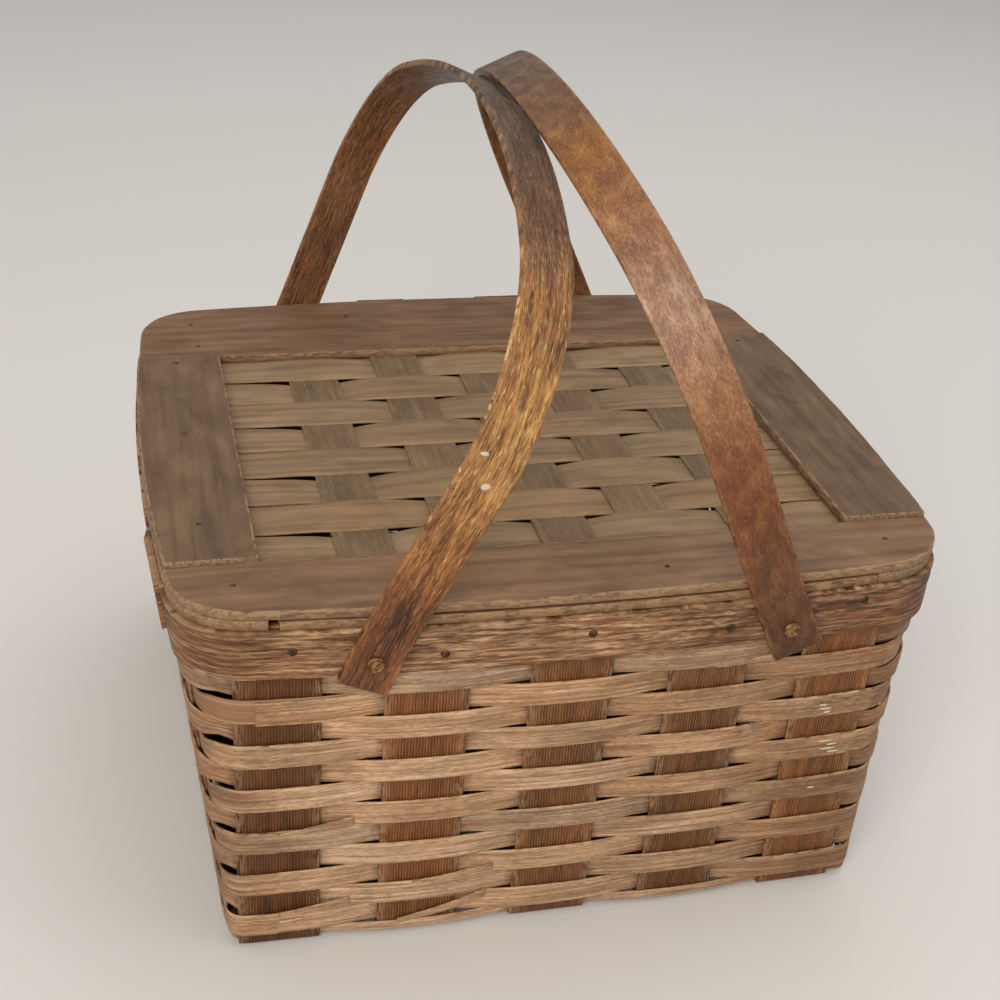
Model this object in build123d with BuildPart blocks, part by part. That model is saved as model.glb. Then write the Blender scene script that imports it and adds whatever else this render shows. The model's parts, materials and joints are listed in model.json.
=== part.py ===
"""Woven splint picnic basket: a tapered plaited body, one framed and woven lid on two back
hinges, and two bentwood handles that swing on rivets. Millimetres, +Z up, the origin on the
table under the middle of the basket, +X to the right and the front wall towards -Y."""

import os
from math import acos, atan2, cos, degrees, hypot, radians, sin, sqrt

from build123d import *

os.makedirs("parts", exist_ok=True)

# Plan of the basket, measured over the outside of the rim and of the base
rim_length = 371.0
rim_depth = 339.0
rim_bow = 10.0
rim_corner = 36.0
base_length = 324.0
base_depth = 326.0
base_bow = 2.0
base_corner = 10.0
rim_top = 180.0

# Splints of the body
stake_width = 36.5
stake_thickness = 1.3
stake_count = 5
long_stake_pitch = 65.0
long_stake_shift = -4.0
cross_stake_pitch = 60.0
weaver_width = 12.2
weaver_thickness = 1.1
weaver_count = 13
last_weaver_width = 4.7
row_gap = 0.15
splint_gap = 0.15
corner_steps = 5

# Rim bands
outer_rim_height = 24.0
outer_rim_thickness = 3.5
inner_rim_height = 20.0
inner_rim_thickness = 3.0
rim_seat_gap = 0.35
inner_rim_relief = 1.0
stake_tuck = 1.5
lap_thickness = 2.0
lap_front = -118.0
lap_back = -76.0

# Lid
lid_length = 369.0
lid_depth = 337.0
lid_gap = 0.3
lower_slat_thickness = 4.3
upper_slat_thickness = 4.3
end_slat_thickness = 5.4
end_slat_width = 47.0
front_slat_width = 46.0
back_slat_width = 73.5
lid_splint_width = 25.4
lid_splint_gap = 1.6
lid_splint_count = 8
lid_splint_thickness = 0.8
lid_ply_gap = 0.1
lid_splint_tuck = 20.0
cross_splint_width = 26.0
cross_splint_centres = (-89.5, -41.0, 4.0, 46.0, 96.0)
lower_notch = 4.5
butt_gap = 0.3

# Handles
pivot_x = 94.0
pivot_height = 166.0
band_width = 24.0
band_thickness = 3.7
foot_length = 14.0
straight_length = 12.0
shoulder_start = 108.0
handle_standoff = 168.6
handle_shapes = {
    "left_handle": {"side": -1, "lean": 23.0, "half_span": 186.0, "shoulder": 80.0, "reach": 208.0},
    "right_handle": {"side": 1, "lean": 24.3, "half_span": 181.0, "shoulder": 90.0, "reach": 216.5},
}

# Rivets and washers of the handles
rivet_radius = 2.4
rivet_running_gap = 0.06
rivet_head_radius = 3.9
rivet_head_height = 1.4
rivet_seat_gap = 0.2
rivet_inner_gap = 0.4
washer_radius = 5.5

# Nails
nail_radius = 0.9
nail_head_radius = 2.1
nail_head_height = 0.8
nail_fit_gap = 0.05
nail_seat_gap = 0.05
rim_nail_height = 169.0
rim_nail_offset = 6.0
rim_nail_rises = (1.0, -4.0, 1.0, -3.0, 4.0)

# Hinges of the lid
hinge_x = 36.0
hinge_width = 28.0
hinge_leaf_thickness = 1.0
lid_leaf_thickness = 0.8
hinge_barrel_radius = 2.2
hinge_pin_radius = 1.0
hinge_pin_gap = 0.05
hinge_height = 184.0
knuckle_length = 10.0
knuckle_gap = 0.25
fixed_leaf_drop = 24.0
leaf_nail_spacing = 16.0
leaf_nail_radius = 0.7
leaf_nail_head = 1.5
leaf_nail_length = 6.0

# Depths below the outside of the rim, from the outside in
stake_inset = outer_rim_thickness + rim_seat_gap + stake_thickness / 2
inner_rim_inset = stake_inset + stake_thickness / 2 + rim_seat_gap + inner_rim_relief
weave_offset = (stake_thickness + weaver_thickness) / 2 + splint_gap
outer_rim_bottom = rim_top - outer_rim_height
stake_top = rim_top - stake_tuck
crossing_half = stake_width / 2 + 1.0


# Plan geometry
def plan_sizes(z):
    """Half length, half depth, bow and corner radius of the basket's outside at height z."""
    share = z / rim_top
    half_x = (base_length + (rim_length - base_length) * share) / 2
    half_y = (base_depth + (rim_depth - base_depth) * share) / 2
    bow = base_bow + (rim_bow - base_bow) * share
    corner = base_corner + (rim_corner - base_corner) * share
    return half_x, half_y, bow, corner


def plan_circles(sizes):
    """The two bow radii, the distances of their centres past the middle, and the corner centre."""
    half_x, half_y, bow, corner = sizes
    long_radius = (half_x**2 + bow**2) / (2 * bow)
    side_radius = (half_y**2 + bow**2) / (2 * bow)
    long_back = long_radius - half_y
    side_back = side_radius - half_x
    near, far = long_radius - corner, side_radius - corner
    span = hypot(side_back, long_back)
    along = (near**2 - far**2 + span**2) / (2 * span)
    rise = sqrt(near**2 - along**2)
    toward_x, toward_y = -side_back / span, long_back / span
    corner_x = toward_x * along + toward_y * rise
    corner_y = -long_back + toward_y * along - toward_x * rise
    return long_radius, side_radius, long_back, side_back, corner_x, corner_y


def long_edge(x, sizes, inset):
    """Distance of the front or back outline from the middle plane, at x."""
    corner = sizes[3]
    long_radius, _, long_back, _, corner_x, corner_y = plan_circles(sizes)
    tangent_x = corner_x * (long_radius - inset) / (long_radius - corner)
    if abs(x) <= tangent_x:
        return sqrt((long_radius - inset) ** 2 - x**2) - long_back
    return corner_y + sqrt((corner - inset) ** 2 - (abs(x) - corner_x) ** 2)


def side_edge(y, sizes, inset):
    """Distance of the left or right outline from the middle plane, at y."""
    corner = sizes[3]
    _, side_radius, _, side_back, corner_x, corner_y = plan_circles(sizes)
    tangent_y = corner_y * (side_radius - inset) / (side_radius - corner)
    if abs(y) <= tangent_y:
        return sqrt((side_radius - inset) ** 2 - y**2) - side_back
    return corner_x + sqrt((corner - inset) ** 2 - (abs(y) - corner_y) ** 2)


def bowed_outline(sizes, inset=0.0):
    """Closed outline of four bowed sides and four round corners, drawn in the current line."""
    half_x, half_y, _, corner = sizes
    long_radius, side_radius, long_back, side_back, corner_x, corner_y = plan_circles(sizes)
    reach = (long_radius - inset) / (long_radius - corner)
    top = (corner_x * reach, (corner_y + long_back) * reach - long_back)
    reach = (side_radius - inset) / (side_radius - corner)
    side = ((corner_x + side_back) * reach - side_back, corner_y * reach)
    middle_angle = (atan2(top[1] - corner_y, top[0] - corner_x) + atan2(side[1] - corner_y, side[0] - corner_x)) / 2
    turn = (
        corner_x + (corner - inset) * cos(middle_angle),
        corner_y + (corner - inset) * sin(middle_angle),
    )
    for sign in (1, -1):
        ThreePointArc((-top[0], sign * top[1]), (0, sign * (half_y - inset)), (top[0], sign * top[1]))
        ThreePointArc((sign * side[0], -side[1]), (sign * (half_x - inset), 0), (sign * side[0], side[1]))
        for hand in (1, -1):
            ThreePointArc(
                (hand * top[0], sign * top[1]),
                (hand * turn[0], sign * turn[1]),
                (hand * side[0], sign * side[1]),
            )


def band_between(low, high, inset, mode=Mode.ADD):
    """Loft of the basket's plan from one height to another, drawn in by an inset."""
    sections = []
    for z in (low, high):
        with BuildSketch(Plane.XY.offset(z)) as section:
            with BuildLine():
                bowed_outline(plan_sizes(z), inset)
            make_face()
        sections.append(section.sketch.face())
    loft(sections, ruled=True, mode=mode)


# Stakes, numbered round the basket: front, right, back, left
def stake_centres(pitch, shift):
    """Places of one row of stakes along its wall."""
    middle = (stake_count - 1) / 2
    return [shift + pitch * (k - middle) for k in range(stake_count)]


long_centres = stake_centres(long_stake_pitch, long_stake_shift)
cross_centres = stake_centres(cross_stake_pitch, 0.0)


def wall_point(wall, along, z, inset):
    """Point on a wall's outline: wall 0 is the front, 1 the right, 2 the back and 3 the left."""
    sizes = plan_sizes(z)
    if wall in (0, 2):
        y = long_edge(along, sizes, inset)
        return (along, -y if wall == 0 else y)
    x = side_edge(along, sizes, inset)
    return (x if wall == 1 else -x, along)


def shifted(point, direction, amount):
    """A plan point moved along a plan direction."""
    return (point[0] + direction[0] * amount, point[1] + direction[1] * amount)


def stake_chord(wall, centre, z, reach=0.0):
    """The two edge points of a stake at height z, in the counterclockwise sense, and its outward normal."""
    forward = 1 if wall in (0, 1) else -1
    share = z / stake_top
    ends = []
    for half in (-stake_width / 2, stake_width / 2):
        low = wall_point(wall, centre + forward * half, 0.0, stake_inset)
        high = wall_point(wall, centre + forward * half, stake_top, stake_inset)
        ends.append((low[0] + (high[0] - low[0]) * share, low[1] + (high[1] - low[1]) * share))
    start, end = ends
    run = hypot(end[0] - start[0], end[1] - start[1])
    along = ((end[0] - start[0]) / run, (end[1] - start[1]) / run)
    return shifted(start, along, -reach), shifted(end, along, reach), (along[1], -along[0])


def ring_of_stakes():
    """Every stake end as its wall and place, counterclockwise from the front left."""
    ring = [(0, c) for c in long_centres]
    ring += [(1, c) for c in cross_centres]
    ring += [(2, c) for c in reversed(long_centres)]
    ring += [(3, c) for c in reversed(cross_centres)]
    return ring


def quad(points):
    """A flat four-cornered section."""
    return Face(Wire.make_polygon([Vector(*p) for p in points], close=True))


def wall_section(wall, centre, z):
    """Level section of a stake standing in a wall."""
    start, end, normal = stake_chord(wall, centre, z)
    half = stake_thickness / 2
    corners = (
        shifted(start, normal, half),
        shifted(end, normal, half),
        shifted(end, normal, -half),
        shifted(start, normal, -half),
    )
    return quad([(x, y, z) for x, y in corners])


def strip(plane, stops, thickness, width):
    """A strip run through its stops, each a place along the plane and the level of its underside."""
    upper = [(place, level + thickness) for place, level in reversed(stops)]
    with BuildSketch(plane) as side_view:
        with BuildLine():
            Polyline(*stops, *upper, close=True)
        make_face()
    extrude(side_view.sketch, amount=width / 2, both=True)


def stake_solid(number, centre, walls, crossing_centres):
    """A splint that runs up one wall, under the floor and up the opposite wall."""
    lengthwise = walls == (0, 2)
    levels = [(stake_thickness + splint_gap) * ((k + number) % 2) for k in range(stake_count)]
    stops = []
    for place, level in zip(crossing_centres, levels):
        stops += [(place - crossing_half, level), (place + crossing_half, level)]
    ends = []
    for wall, level in zip(walls, (levels[0], levels[-1])):
        start, end, _ = stake_chord(wall, centre, level)
        middle = ((start[0] + end[0]) / 2, (start[1] + end[1]) / 2)
        ends.append((middle[1] if lengthwise else middle[0], level))
        loft([wall_section(wall, centre, level), wall_section(wall, centre, stake_top)], ruled=True)
    stops = [ends[0], *stops[1:-1], ends[1]]
    plane = Plane.YZ.offset(centre) if lengthwise else Plane.XZ.offset(-centre)
    strip(plane, stops, stake_thickness, stake_width)


# Nails of the rim, one at each stake end
def nail_planes():
    """A plane on the outside of the rim at each nail, facing out."""
    planes = []
    for k, (wall, centre) in enumerate(ring_of_stakes()):
        z = rim_nail_height + rim_nail_rises[k % stake_count]
        forward = 1 if wall in (0, 1) else -1
        along = centre + forward * rim_nail_offset
        spot = Vector(*wall_point(wall, along, z, 0.0), z)
        ahead = Vector(*wall_point(wall, along + forward, z, 0.0), z) - spot
        above = Vector(*wall_point(wall, along, z + 1.0, 0.0), z + 1.0) - spot
        planes.append(Plane(origin=spot, x_dir=ahead, z_dir=ahead.cross(above)))
    return planes


rim_nail_planes = nail_planes()
nail_length = inner_rim_inset + inner_rim_thickness


def drill(planes, radius, depth):
    """Round holes sunk from each plane into the current part."""
    for plane in planes:
        with BuildSketch(plane.offset(1.0)) as hole:
            Circle(radius)
        extrude(hole.sketch, amount=-depth - 1.0, mode=Mode.SUBTRACT)


def nails(planes, radius, head_radius, head_height, length):
    """Nails with low domed heads, driven in from each plane."""
    for plane in planes:
        with BuildSketch(plane.offset(nail_seat_gap)) as shank:
            Circle(radius)
        extrude(shank.sketch, amount=-length)
        with BuildSketch(plane.offset(nail_seat_gap)) as head:
            Circle(head_radius)
        extrude(head.sketch, amount=head_height, taper=25)


def pivot_planes(side, y):
    """Planes at the front and back ends of a handle's pivot line, facing out."""
    return [
        Plane(origin=(side * pivot_x, end * y, pivot_height), x_dir=(-end, 0, 0), z_dir=(0, end, 0))
        for end in (-1, 1)
    ]


def finish(part, name):
    """Label a finished piece and write it."""
    part.part.label = name
    export_step(part.part, f"parts/{name}.step")


# Stakes
stake_hole = nail_radius + nail_fit_gap


def stake_nails(first_wall, number):
    """The nail planes at both ends of a stake."""
    first, opposite = first_wall * stake_count, (first_wall + 2) * stake_count
    return [rim_nail_planes[first + number], rim_nail_planes[opposite + stake_count - 1 - number]]


for number, centre in enumerate(long_centres):
    with BuildPart() as stake:
        stake_solid(number, centre, (0, 2), cross_centres)
        drill(stake_nails(0, number), stake_hole, nail_length)
    finish(stake, f"long_stake_{number + 1}")

for number, centre in enumerate(cross_centres):
    with BuildPart() as stake:
        stake_solid(number + 1, centre, (3, 1), long_centres)
        drill(stake_nails(1, number), stake_hole, nail_length)
    finish(stake, f"cross_stake_{number + 1}")


# Weavers
def corner_points(wall, last, first, z):
    """Points round a corner, from the last point of one wall to the first of the next."""
    corner_x, corner_y = plan_circles(plan_sizes(z))[4:]
    sign_x = 1 if wall in (0, 1) else -1
    sign_y = -1 if wall in (0, 3) else 1
    centre = (sign_x * corner_x, sign_y * corner_y)
    start, end = (atan2(y - centre[1], x - centre[0]) for x, y in (last, first))
    if end < start:
        end += radians(360)
    near, far = (hypot(x - centre[0], y - centre[1]) for x, y in (last, first))
    points = []
    for k in range(1, corner_steps):
        share = k / corner_steps
        angle = start + (end - start) * share
        reach = near + (far - near) * share
        points.append((centre[0] + reach * cos(angle), centre[1] + reach * sin(angle)))
    return points


def weaver_line(row, z):
    """Middle line of a weaver at height z, outside the stakes and inside them by turns."""
    ring = ring_of_stakes()
    chords = [stake_chord(wall, centre, z, reach=1.0) for wall, centre in ring]
    sides = [-weave_offset if (k + row) % 2 == 0 else weave_offset for k in range(len(ring))]
    runs = [(shifted(a, out, side), shifted(b, out, side)) for (a, b, out), side in zip(chords, sides)]
    points = []
    for k, (start, end) in enumerate(runs):
        points += [start, end]
        following = (k + 1) % len(ring)
        if ring[following][0] != ring[k][0]:
            points += corner_points(ring[k][0], end, runs[following][0], z)
    return points


def widened(points, amount):
    """A closed counterclockwise polygon with each side moved out by an amount."""
    moved = []
    for k, here in enumerate(points):
        before, after = points[k - 1], points[(k + 1) % len(points)]
        normals = []
        for a, b in ((before, here), (here, after)):
            run = hypot(b[0] - a[0], b[1] - a[1])
            normals.append(((b[1] - a[1]) / run, -(b[0] - a[0]) / run))
        (ax, ay), (bx, by) = normals
        scale = amount / (1 + ax * bx + ay * by)
        moved.append((here[0] + (ax + bx) * scale, here[1] + (ay + by) * scale))
    return moved


weaver_pitch = weaver_width + row_gap
for row in range(weaver_count):
    top = outer_rim_bottom - row_gap - weaver_pitch * row
    bottom = top - (weaver_width if row < weaver_count - 1 else last_weaver_width)
    with BuildPart() as weaver:
        for amount, mode in ((weaver_thickness / 2, Mode.ADD), (-weaver_thickness / 2, Mode.SUBTRACT)):
            for z in (bottom, top):
                with BuildSketch(Plane.XY.offset(z)):
                    with BuildLine():
                        Polyline(*widened(weaver_line(row, z), amount), close=True)
                    make_face()
            loft(ruled=True, mode=mode)
    finish(weaver, f"weaver_{row + 1:02d}")

# Rim bands
rivet_hole = rivet_radius + nail_fit_gap
rivet_planes = [plane for side in (-1, 1) for plane in pivot_planes(side, rim_depth / 2)]
rivet_depth = rim_bow + inner_rim_inset + inner_rim_thickness

hinge_axis_y = long_edge(hinge_x - hinge_width / 2, plan_sizes(rim_top), 0.0) + hinge_barrel_radius + lid_gap / 2
leaf_face = hinge_axis_y - hinge_barrel_radius


def leaf_nail_planes(z, y):
    """Planes on the hinge leaves at their nails, facing the back."""
    return [
        Plane(origin=(side * hinge_x + shift, y, z), x_dir=(-1, 0, 0), z_dir=(0, 1, 0))
        for side in (-1, 1)
        for shift in (-leaf_nail_spacing / 2, leaf_nail_spacing / 2)
    ]


fixed_leaf_bottom = hinge_height - fixed_leaf_drop
fixed_nail_planes = leaf_nail_planes(fixed_leaf_bottom + 6.0, leaf_face + hinge_leaf_thickness)
leaf_nail_hole = leaf_nail_radius + nail_fit_gap

with BuildPart() as lap:
    band_between(outer_rim_bottom, rim_top, -lap_thickness)
    band_between(outer_rim_bottom, rim_top, outer_rim_thickness / 2, Mode.SUBTRACT)
    with Locations((-rim_length / 2, (lap_front + lap_back) / 2, rim_top)):
        Box(rim_corner * 2, lap_back - lap_front, rim_top, mode=Mode.INTERSECT)

with BuildPart() as rim_outer:
    band_between(outer_rim_bottom, rim_top, 0.0)
    band_between(outer_rim_bottom, rim_top, outer_rim_thickness, Mode.SUBTRACT)
    add(lap.part)
    drill(rim_nail_planes, stake_hole, nail_length)
    drill(rivet_planes, rivet_hole, rivet_depth)
    drill(fixed_nail_planes, leaf_nail_hole, leaf_nail_length)
finish(rim_outer, "rim_outer_band")

with BuildPart() as rim_inner:
    band_between(rim_top - inner_rim_height, rim_top, inner_rim_inset)
    band_between(rim_top - inner_rim_height, rim_top, inner_rim_inset + inner_rim_thickness, Mode.SUBTRACT)
    drill(rim_nail_planes, stake_hole, nail_length)
    drill(rivet_planes, rivet_hole, rivet_depth)
finish(rim_inner, "rim_inner_band")

with BuildPart() as rim_nails:
    nails(rim_nail_planes, nail_radius, nail_head_radius, nail_head_height, nail_length)
finish(rim_nails, "rim_nails")

# Rivets and washers
band_face = handle_standoff + band_thickness
rim_at_pivot = long_edge(pivot_x, plan_sizes(pivot_height), 0.0)
rim_inside = rim_at_pivot - inner_rim_inset - inner_rim_thickness

with BuildPart() as rivets:
    for side in (-1, 1):
        for plane in pivot_planes(side, 0.0):
            with BuildSketch(plane.offset(rim_inside - rivet_inner_gap)):
                Circle(rivet_radius)
            extrude(amount=band_face - rim_inside + rivet_inner_gap + rivet_seat_gap)
            with BuildSketch(plane.offset(band_face + rivet_seat_gap)):
                Circle(rivet_head_radius)
            extrude(amount=rivet_head_height, taper=20)
            with BuildSketch(plane.offset(rim_inside - rivet_inner_gap)):
                Circle(rivet_head_radius)
            extrude(amount=-rivet_head_height, taper=20)
finish(rivets, "handle_rivets")

with BuildPart() as washers:
    for side in (-1, 1):
        for plane in pivot_planes(side, 0.0):
            with BuildSketch(plane.offset(rim_at_pivot + rim_seat_gap)):
                Circle(washer_radius)
                Circle(rivet_hole, mode=Mode.SUBTRACT)
            extrude(amount=handle_standoff - rim_at_pivot - rim_seat_gap - rivet_seat_gap)
finish(washers, "handle_washers")


# Handles
def hoop_edge(shape, offset):
    """Half outline of a hoop from its foot to the top, moved out from the middle line."""
    half_span, shoulder, reach = shape["half_span"], shape["shoulder"], shape["reach"]
    foot = handle_standoff + band_thickness / 2
    inward = half_span - shoulder
    rise = reach - shoulder_start
    crown = (inward**2 + rise**2 - shoulder**2) / (2 * (rise - shoulder))
    crown_centre = reach - crown
    angle = atan2(shoulder_start - crown_centre, inward)
    join = (inward + (shoulder + offset) * cos(angle), shoulder_start + (shoulder + offset) * sin(angle))
    turn = (
        inward + (shoulder + offset) * cos(angle / 2),
        shoulder_start + (shoulder + offset) * sin(angle / 2),
    )
    return {
        "foot": (foot + offset, -foot_length),
        "bend": (foot + offset, straight_length),
        "spring": (half_span + offset, shoulder_start),
        "turn": turn,
        "join": join,
        "top": (0.0, reach + offset),
    }


def hoop_lines(edge):
    """Draw one whole outline of a hoop, both legs and the crown."""
    for sign in (-1, 1):
        points = {name: (sign * x, y) for name, (x, y) in edge.items()}
        Polyline(points["foot"], points["bend"], points["spring"])
        ThreePointArc(points["spring"], points["turn"], points["join"])
    join = edge["join"]
    ThreePointArc((-join[0], join[1]), edge["top"], join)


for name, shape in handle_shapes.items():
    tilt = radians(shape["lean"])
    inward = -shape["side"] * sin(tilt)
    hoop_plane = Plane(
        origin=(shape["side"] * pivot_x, 0, pivot_height), x_dir=(0, 1, 0), z_dir=(cos(tilt), 0, -inward)
    )
    with BuildPart() as handle:
        with BuildSketch(hoop_plane):
            with BuildLine():
                outer_edge = hoop_edge(shape, band_thickness / 2)
                inner_edge = hoop_edge(shape, -band_thickness / 2)
                hoop_lines(outer_edge)
                hoop_lines(inner_edge)
                for sign in (-1, 1):
                    Line(
                        (sign * outer_edge["foot"][0], -foot_length),
                        (sign * inner_edge["foot"][0], -foot_length),
                    )
            make_face()
        extrude(amount=band_width / 2, both=True)
        drill(pivot_planes(shape["side"], band_face), rivet_radius + rivet_running_gap, band_thickness * 2)
    finish(handle, name)

# Lid levels, from the bottom up
lid_bottom = rim_top + lid_gap
lower_top = lid_bottom + lower_slat_thickness
ply_step = lid_splint_thickness + lid_ply_gap
under_level = lower_top + lid_ply_gap
over_level = under_level + ply_step
upper_bottom = over_level
upper_top = upper_bottom + upper_slat_thickness
lower_end_top = over_level - lid_ply_gap
end_bottom = over_level + ply_step
end_top = end_bottom + end_slat_thickness

# Lid plan
half_lid_x = lid_length / 2
half_lid_y = lid_depth / 2
lid_sizes = (half_lid_x, half_lid_y, rim_bow, rim_corner)
window_x = half_lid_x - end_slat_width
window_front = -half_lid_y + front_slat_width
window_back = half_lid_y - back_slat_width
row_pitch = lid_splint_width + lid_splint_gap


def slat(low, high, x_range, y_range):
    """A slat of the lid: the lid's outline cut to a straight-sided piece."""
    with BuildSketch(Plane.XY.offset(low)) as plan:
        with BuildLine():
            bowed_outline(lid_sizes)
        make_face()
        with Locations(((x_range[0] + x_range[1]) / 2, (y_range[0] + y_range[1]) / 2)):
            Rectangle(x_range[1] - x_range[0], y_range[1] - y_range[0], mode=Mode.INTERSECT)
    extrude(plan.sketch, amount=high - low)


# Nails of the lid, in the slats' outer margins and clear of the splints
lid_nail_spots = (
    (-161.0, 84.0), (-148.0, 110.0), (-161.0, -90.0), (-162.0, 0.0),
    (161.0, 84.0), (148.0, 110.0), (161.0, -90.0), (162.0, 0.0),
    (-150.0, -140.0), (-62.0, -150.0), (40.0, -150.0), (150.0, -140.0),
    (-150.0, 140.0), (-60.0, 145.0), (60.0, 145.0), (150.0, 140.0),
)
lid_nail_radius = 0.8
lid_nail_head = 1.9
lid_nail_head_height = 0.4


def lid_nail_planes(spots):
    """Planes on top of the lid at its nails, facing up."""
    return [
        Plane(origin=(x, y, end_top if window_front < y < window_back else upper_top))
        for x, y in spots
    ]


lid_nail_tops = lid_nail_planes(lid_nail_spots)
lid_drill_depth = end_top - lid_bottom + 1.0
lid_nail_hole = lid_nail_radius + nail_fit_gap
lid_leaf_height = (upper_bottom + upper_top) / 2
lid_leaf_face = leaf_face - knuckle_gap
lid_leaf_planes = leaf_nail_planes(lid_leaf_height, lid_leaf_face)
slat_pieces = {
    "lid_upper_front_slat": (upper_bottom, upper_top, (-half_lid_x, half_lid_x), (-half_lid_y, window_front)),
    "lid_upper_back_slat": (upper_bottom, upper_top, (-half_lid_x, half_lid_x), (window_back, half_lid_y)),
    "lid_upper_left_slat": (
        end_bottom, end_top, (-half_lid_x, -window_x), (window_front + butt_gap, window_back - butt_gap)
    ),
    "lid_upper_right_slat": (
        end_bottom, end_top, (window_x, half_lid_x), (window_front + butt_gap, window_back - butt_gap)
    ),
    "lid_lower_left_slat": (lid_bottom, lower_end_top, (-half_lid_x, -window_x), (-half_lid_y, half_lid_y)),
    "lid_lower_right_slat": (lid_bottom, lower_end_top, (window_x, half_lid_x), (-half_lid_y, half_lid_y)),
    "lid_lower_front_slat": (
        lid_bottom, lower_top, (-window_x + lower_notch, window_x - butt_gap), (-half_lid_y, window_front)
    ),
    "lid_lower_back_slat": (
        lid_bottom, lower_top, (-window_x + butt_gap, window_x - butt_gap), (window_back, half_lid_y)
    ),
}
for name, (low, high, x_range, y_range) in slat_pieces.items():
    with BuildPart() as piece:
        slat(low, high, x_range, y_range)
        drill(lid_nail_tops, lid_nail_hole, lid_drill_depth)
        drill(lid_leaf_planes, leaf_nail_hole, leaf_nail_length)
    finish(piece, name)

with BuildPart() as lid_nails:
    nails(lid_nail_tops, lid_nail_radius, lid_nail_head, lid_nail_head_height, upper_top - lid_bottom - 1.0)
finish(lid_nails, "lid_nails")


# Splints of the lid
def splint_row(row):
    """Middle of a left-right splint, counted from the back."""
    return (window_front + window_back) / 2 + row_pitch * ((lid_splint_count - 1) / 2 - row)


cross_edges = [(c - cross_splint_width / 2, c + cross_splint_width / 2) for c in cross_splint_centres]
for row in range(lid_splint_count):
    tuck = window_x + lid_splint_tuck
    stops = [(-tuck, over_level), (-window_x - 1.0, over_level)]
    for column, (left, right) in enumerate(cross_edges):
        level = over_level if (row + column) % 2 == 0 else under_level
        stops += [(left - 1.0, level), (right + 1.0, level)]
    stops += [(window_x + 1.0, over_level), (tuck, over_level)]
    with BuildPart() as splint:
        strip(Plane.XZ.offset(-splint_row(row)), stops, lid_splint_thickness, lid_splint_width)
        drill(lid_nail_tops, lid_nail_hole, lid_drill_depth)
    finish(splint, f"lid_splint_{row + 1}")

for column, centre in enumerate(cross_splint_centres):
    tuck_front, tuck_back = window_front - lid_splint_tuck, window_back + lid_splint_tuck
    stops = [(tuck_front, under_level), (window_front + lid_ply_gap, under_level)]
    for row in reversed(range(lid_splint_count)):
        level = under_level if (row + column) % 2 == 0 else over_level
        half = lid_splint_width / 2 + 0.1
        stops += [(splint_row(row) - half, level), (splint_row(row) + half, level)]
    stops += [(window_back - lid_ply_gap, under_level), (tuck_back, under_level)]
    with BuildPart() as splint:
        strip(Plane.YZ.offset(centre), stops, lid_splint_thickness, cross_splint_width)
    finish(splint, f"lid_cross_splint_{column + 1}")


# Hinges
def knuckle(first, last):
    """A bored knuckle of each hinge between two places along it."""
    for side in (-1, 1):
        with BuildSketch(Plane.YZ.offset(side * hinge_x + first)) as round_end:
            with Locations((hinge_axis_y, hinge_height)):
                Circle(hinge_barrel_radius)
        extrude(round_end.sketch, amount=last - first)


def bore_hinges():
    """The pin's bore through the current part."""
    with BuildSketch(Plane.YZ.offset(-hinge_x - hinge_width)) as bore:
        with Locations((hinge_axis_y, hinge_height)):
            Circle(hinge_pin_radius + hinge_pin_gap)
    extrude(bore.sketch, amount=2 * (hinge_x + hinge_width), mode=Mode.SUBTRACT)


def leaf_box(x_range, y_range, z_range):
    """A plate of each hinge, between the given places."""
    for side in (-1, 1):
        with Locations((
            side * hinge_x + (x_range[0] + x_range[1]) / 2,
            (y_range[0] + y_range[1]) / 2,
            (z_range[0] + z_range[1]) / 2,
        )):
            Box(x_range[1] - x_range[0], y_range[1] - y_range[0], z_range[1] - z_range[0])


half_hinge = hinge_width / 2
half_knuckle = knuckle_length / 2
fixed_plate_top = hinge_height - hinge_barrel_radius - knuckle_gap
plate = (leaf_face, leaf_face + hinge_leaf_thickness)
with BuildPart() as fixed_leaves:
    leaf_box((-half_hinge, half_hinge), plate, (fixed_leaf_bottom, fixed_plate_top))
    for first, last in ((-half_hinge, -half_knuckle), (half_knuckle, half_hinge)):
        leaf_box((first, last), plate, (fixed_plate_top - 1.0, hinge_height))
        knuckle(first, last)
    bore_hinges()
    drill(fixed_nail_planes, leaf_nail_hole, leaf_nail_length)
finish(fixed_leaves, "hinge_fixed_leaves")

lid_plate = (lid_leaf_face - lid_leaf_thickness, lid_leaf_face)
bridge_top = hinge_height + hinge_barrel_radius
with BuildPart() as lid_leaves:
    leaf_box((-half_hinge, half_hinge), lid_plate, (hinge_height + 0.6, upper_top - butt_gap))
    knuckle(-half_knuckle + knuckle_gap, half_knuckle - knuckle_gap)
    leaf_box(
        (-half_knuckle + knuckle_gap, half_knuckle - knuckle_gap),
        (lid_plate[0], hinge_axis_y),
        (bridge_top - hinge_leaf_thickness, bridge_top),
    )
    bore_hinges()
    drill(lid_leaf_planes, leaf_nail_hole, leaf_nail_length)
finish(lid_leaves, "hinge_lid_leaves")

with BuildPart() as pins:
    for side in (-1, 1):
        with BuildSketch(Plane.YZ.offset(side * hinge_x - half_hinge - 1.0)):
            with Locations((hinge_axis_y, hinge_height)):
                Circle(hinge_pin_radius)
        extrude(amount=hinge_width + 2.0)
finish(pins, "hinge_pins")

with BuildPart() as fixed_nails:
    nails(fixed_nail_planes, leaf_nail_radius, leaf_nail_head, nail_head_height, leaf_nail_length - 1.0)
finish(fixed_nails, "hinge_fixed_nails")

with BuildPart() as lid_leaf_nails:
    nails(lid_leaf_planes, leaf_nail_radius, leaf_nail_head, nail_head_height, leaf_nail_length - 1.0)
finish(lid_leaf_nails, "hinge_lid_nails")
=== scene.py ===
"""A woven splint picnic basket with a framed and woven lid and two bentwood handles."""

import json
import math
import random

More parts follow.
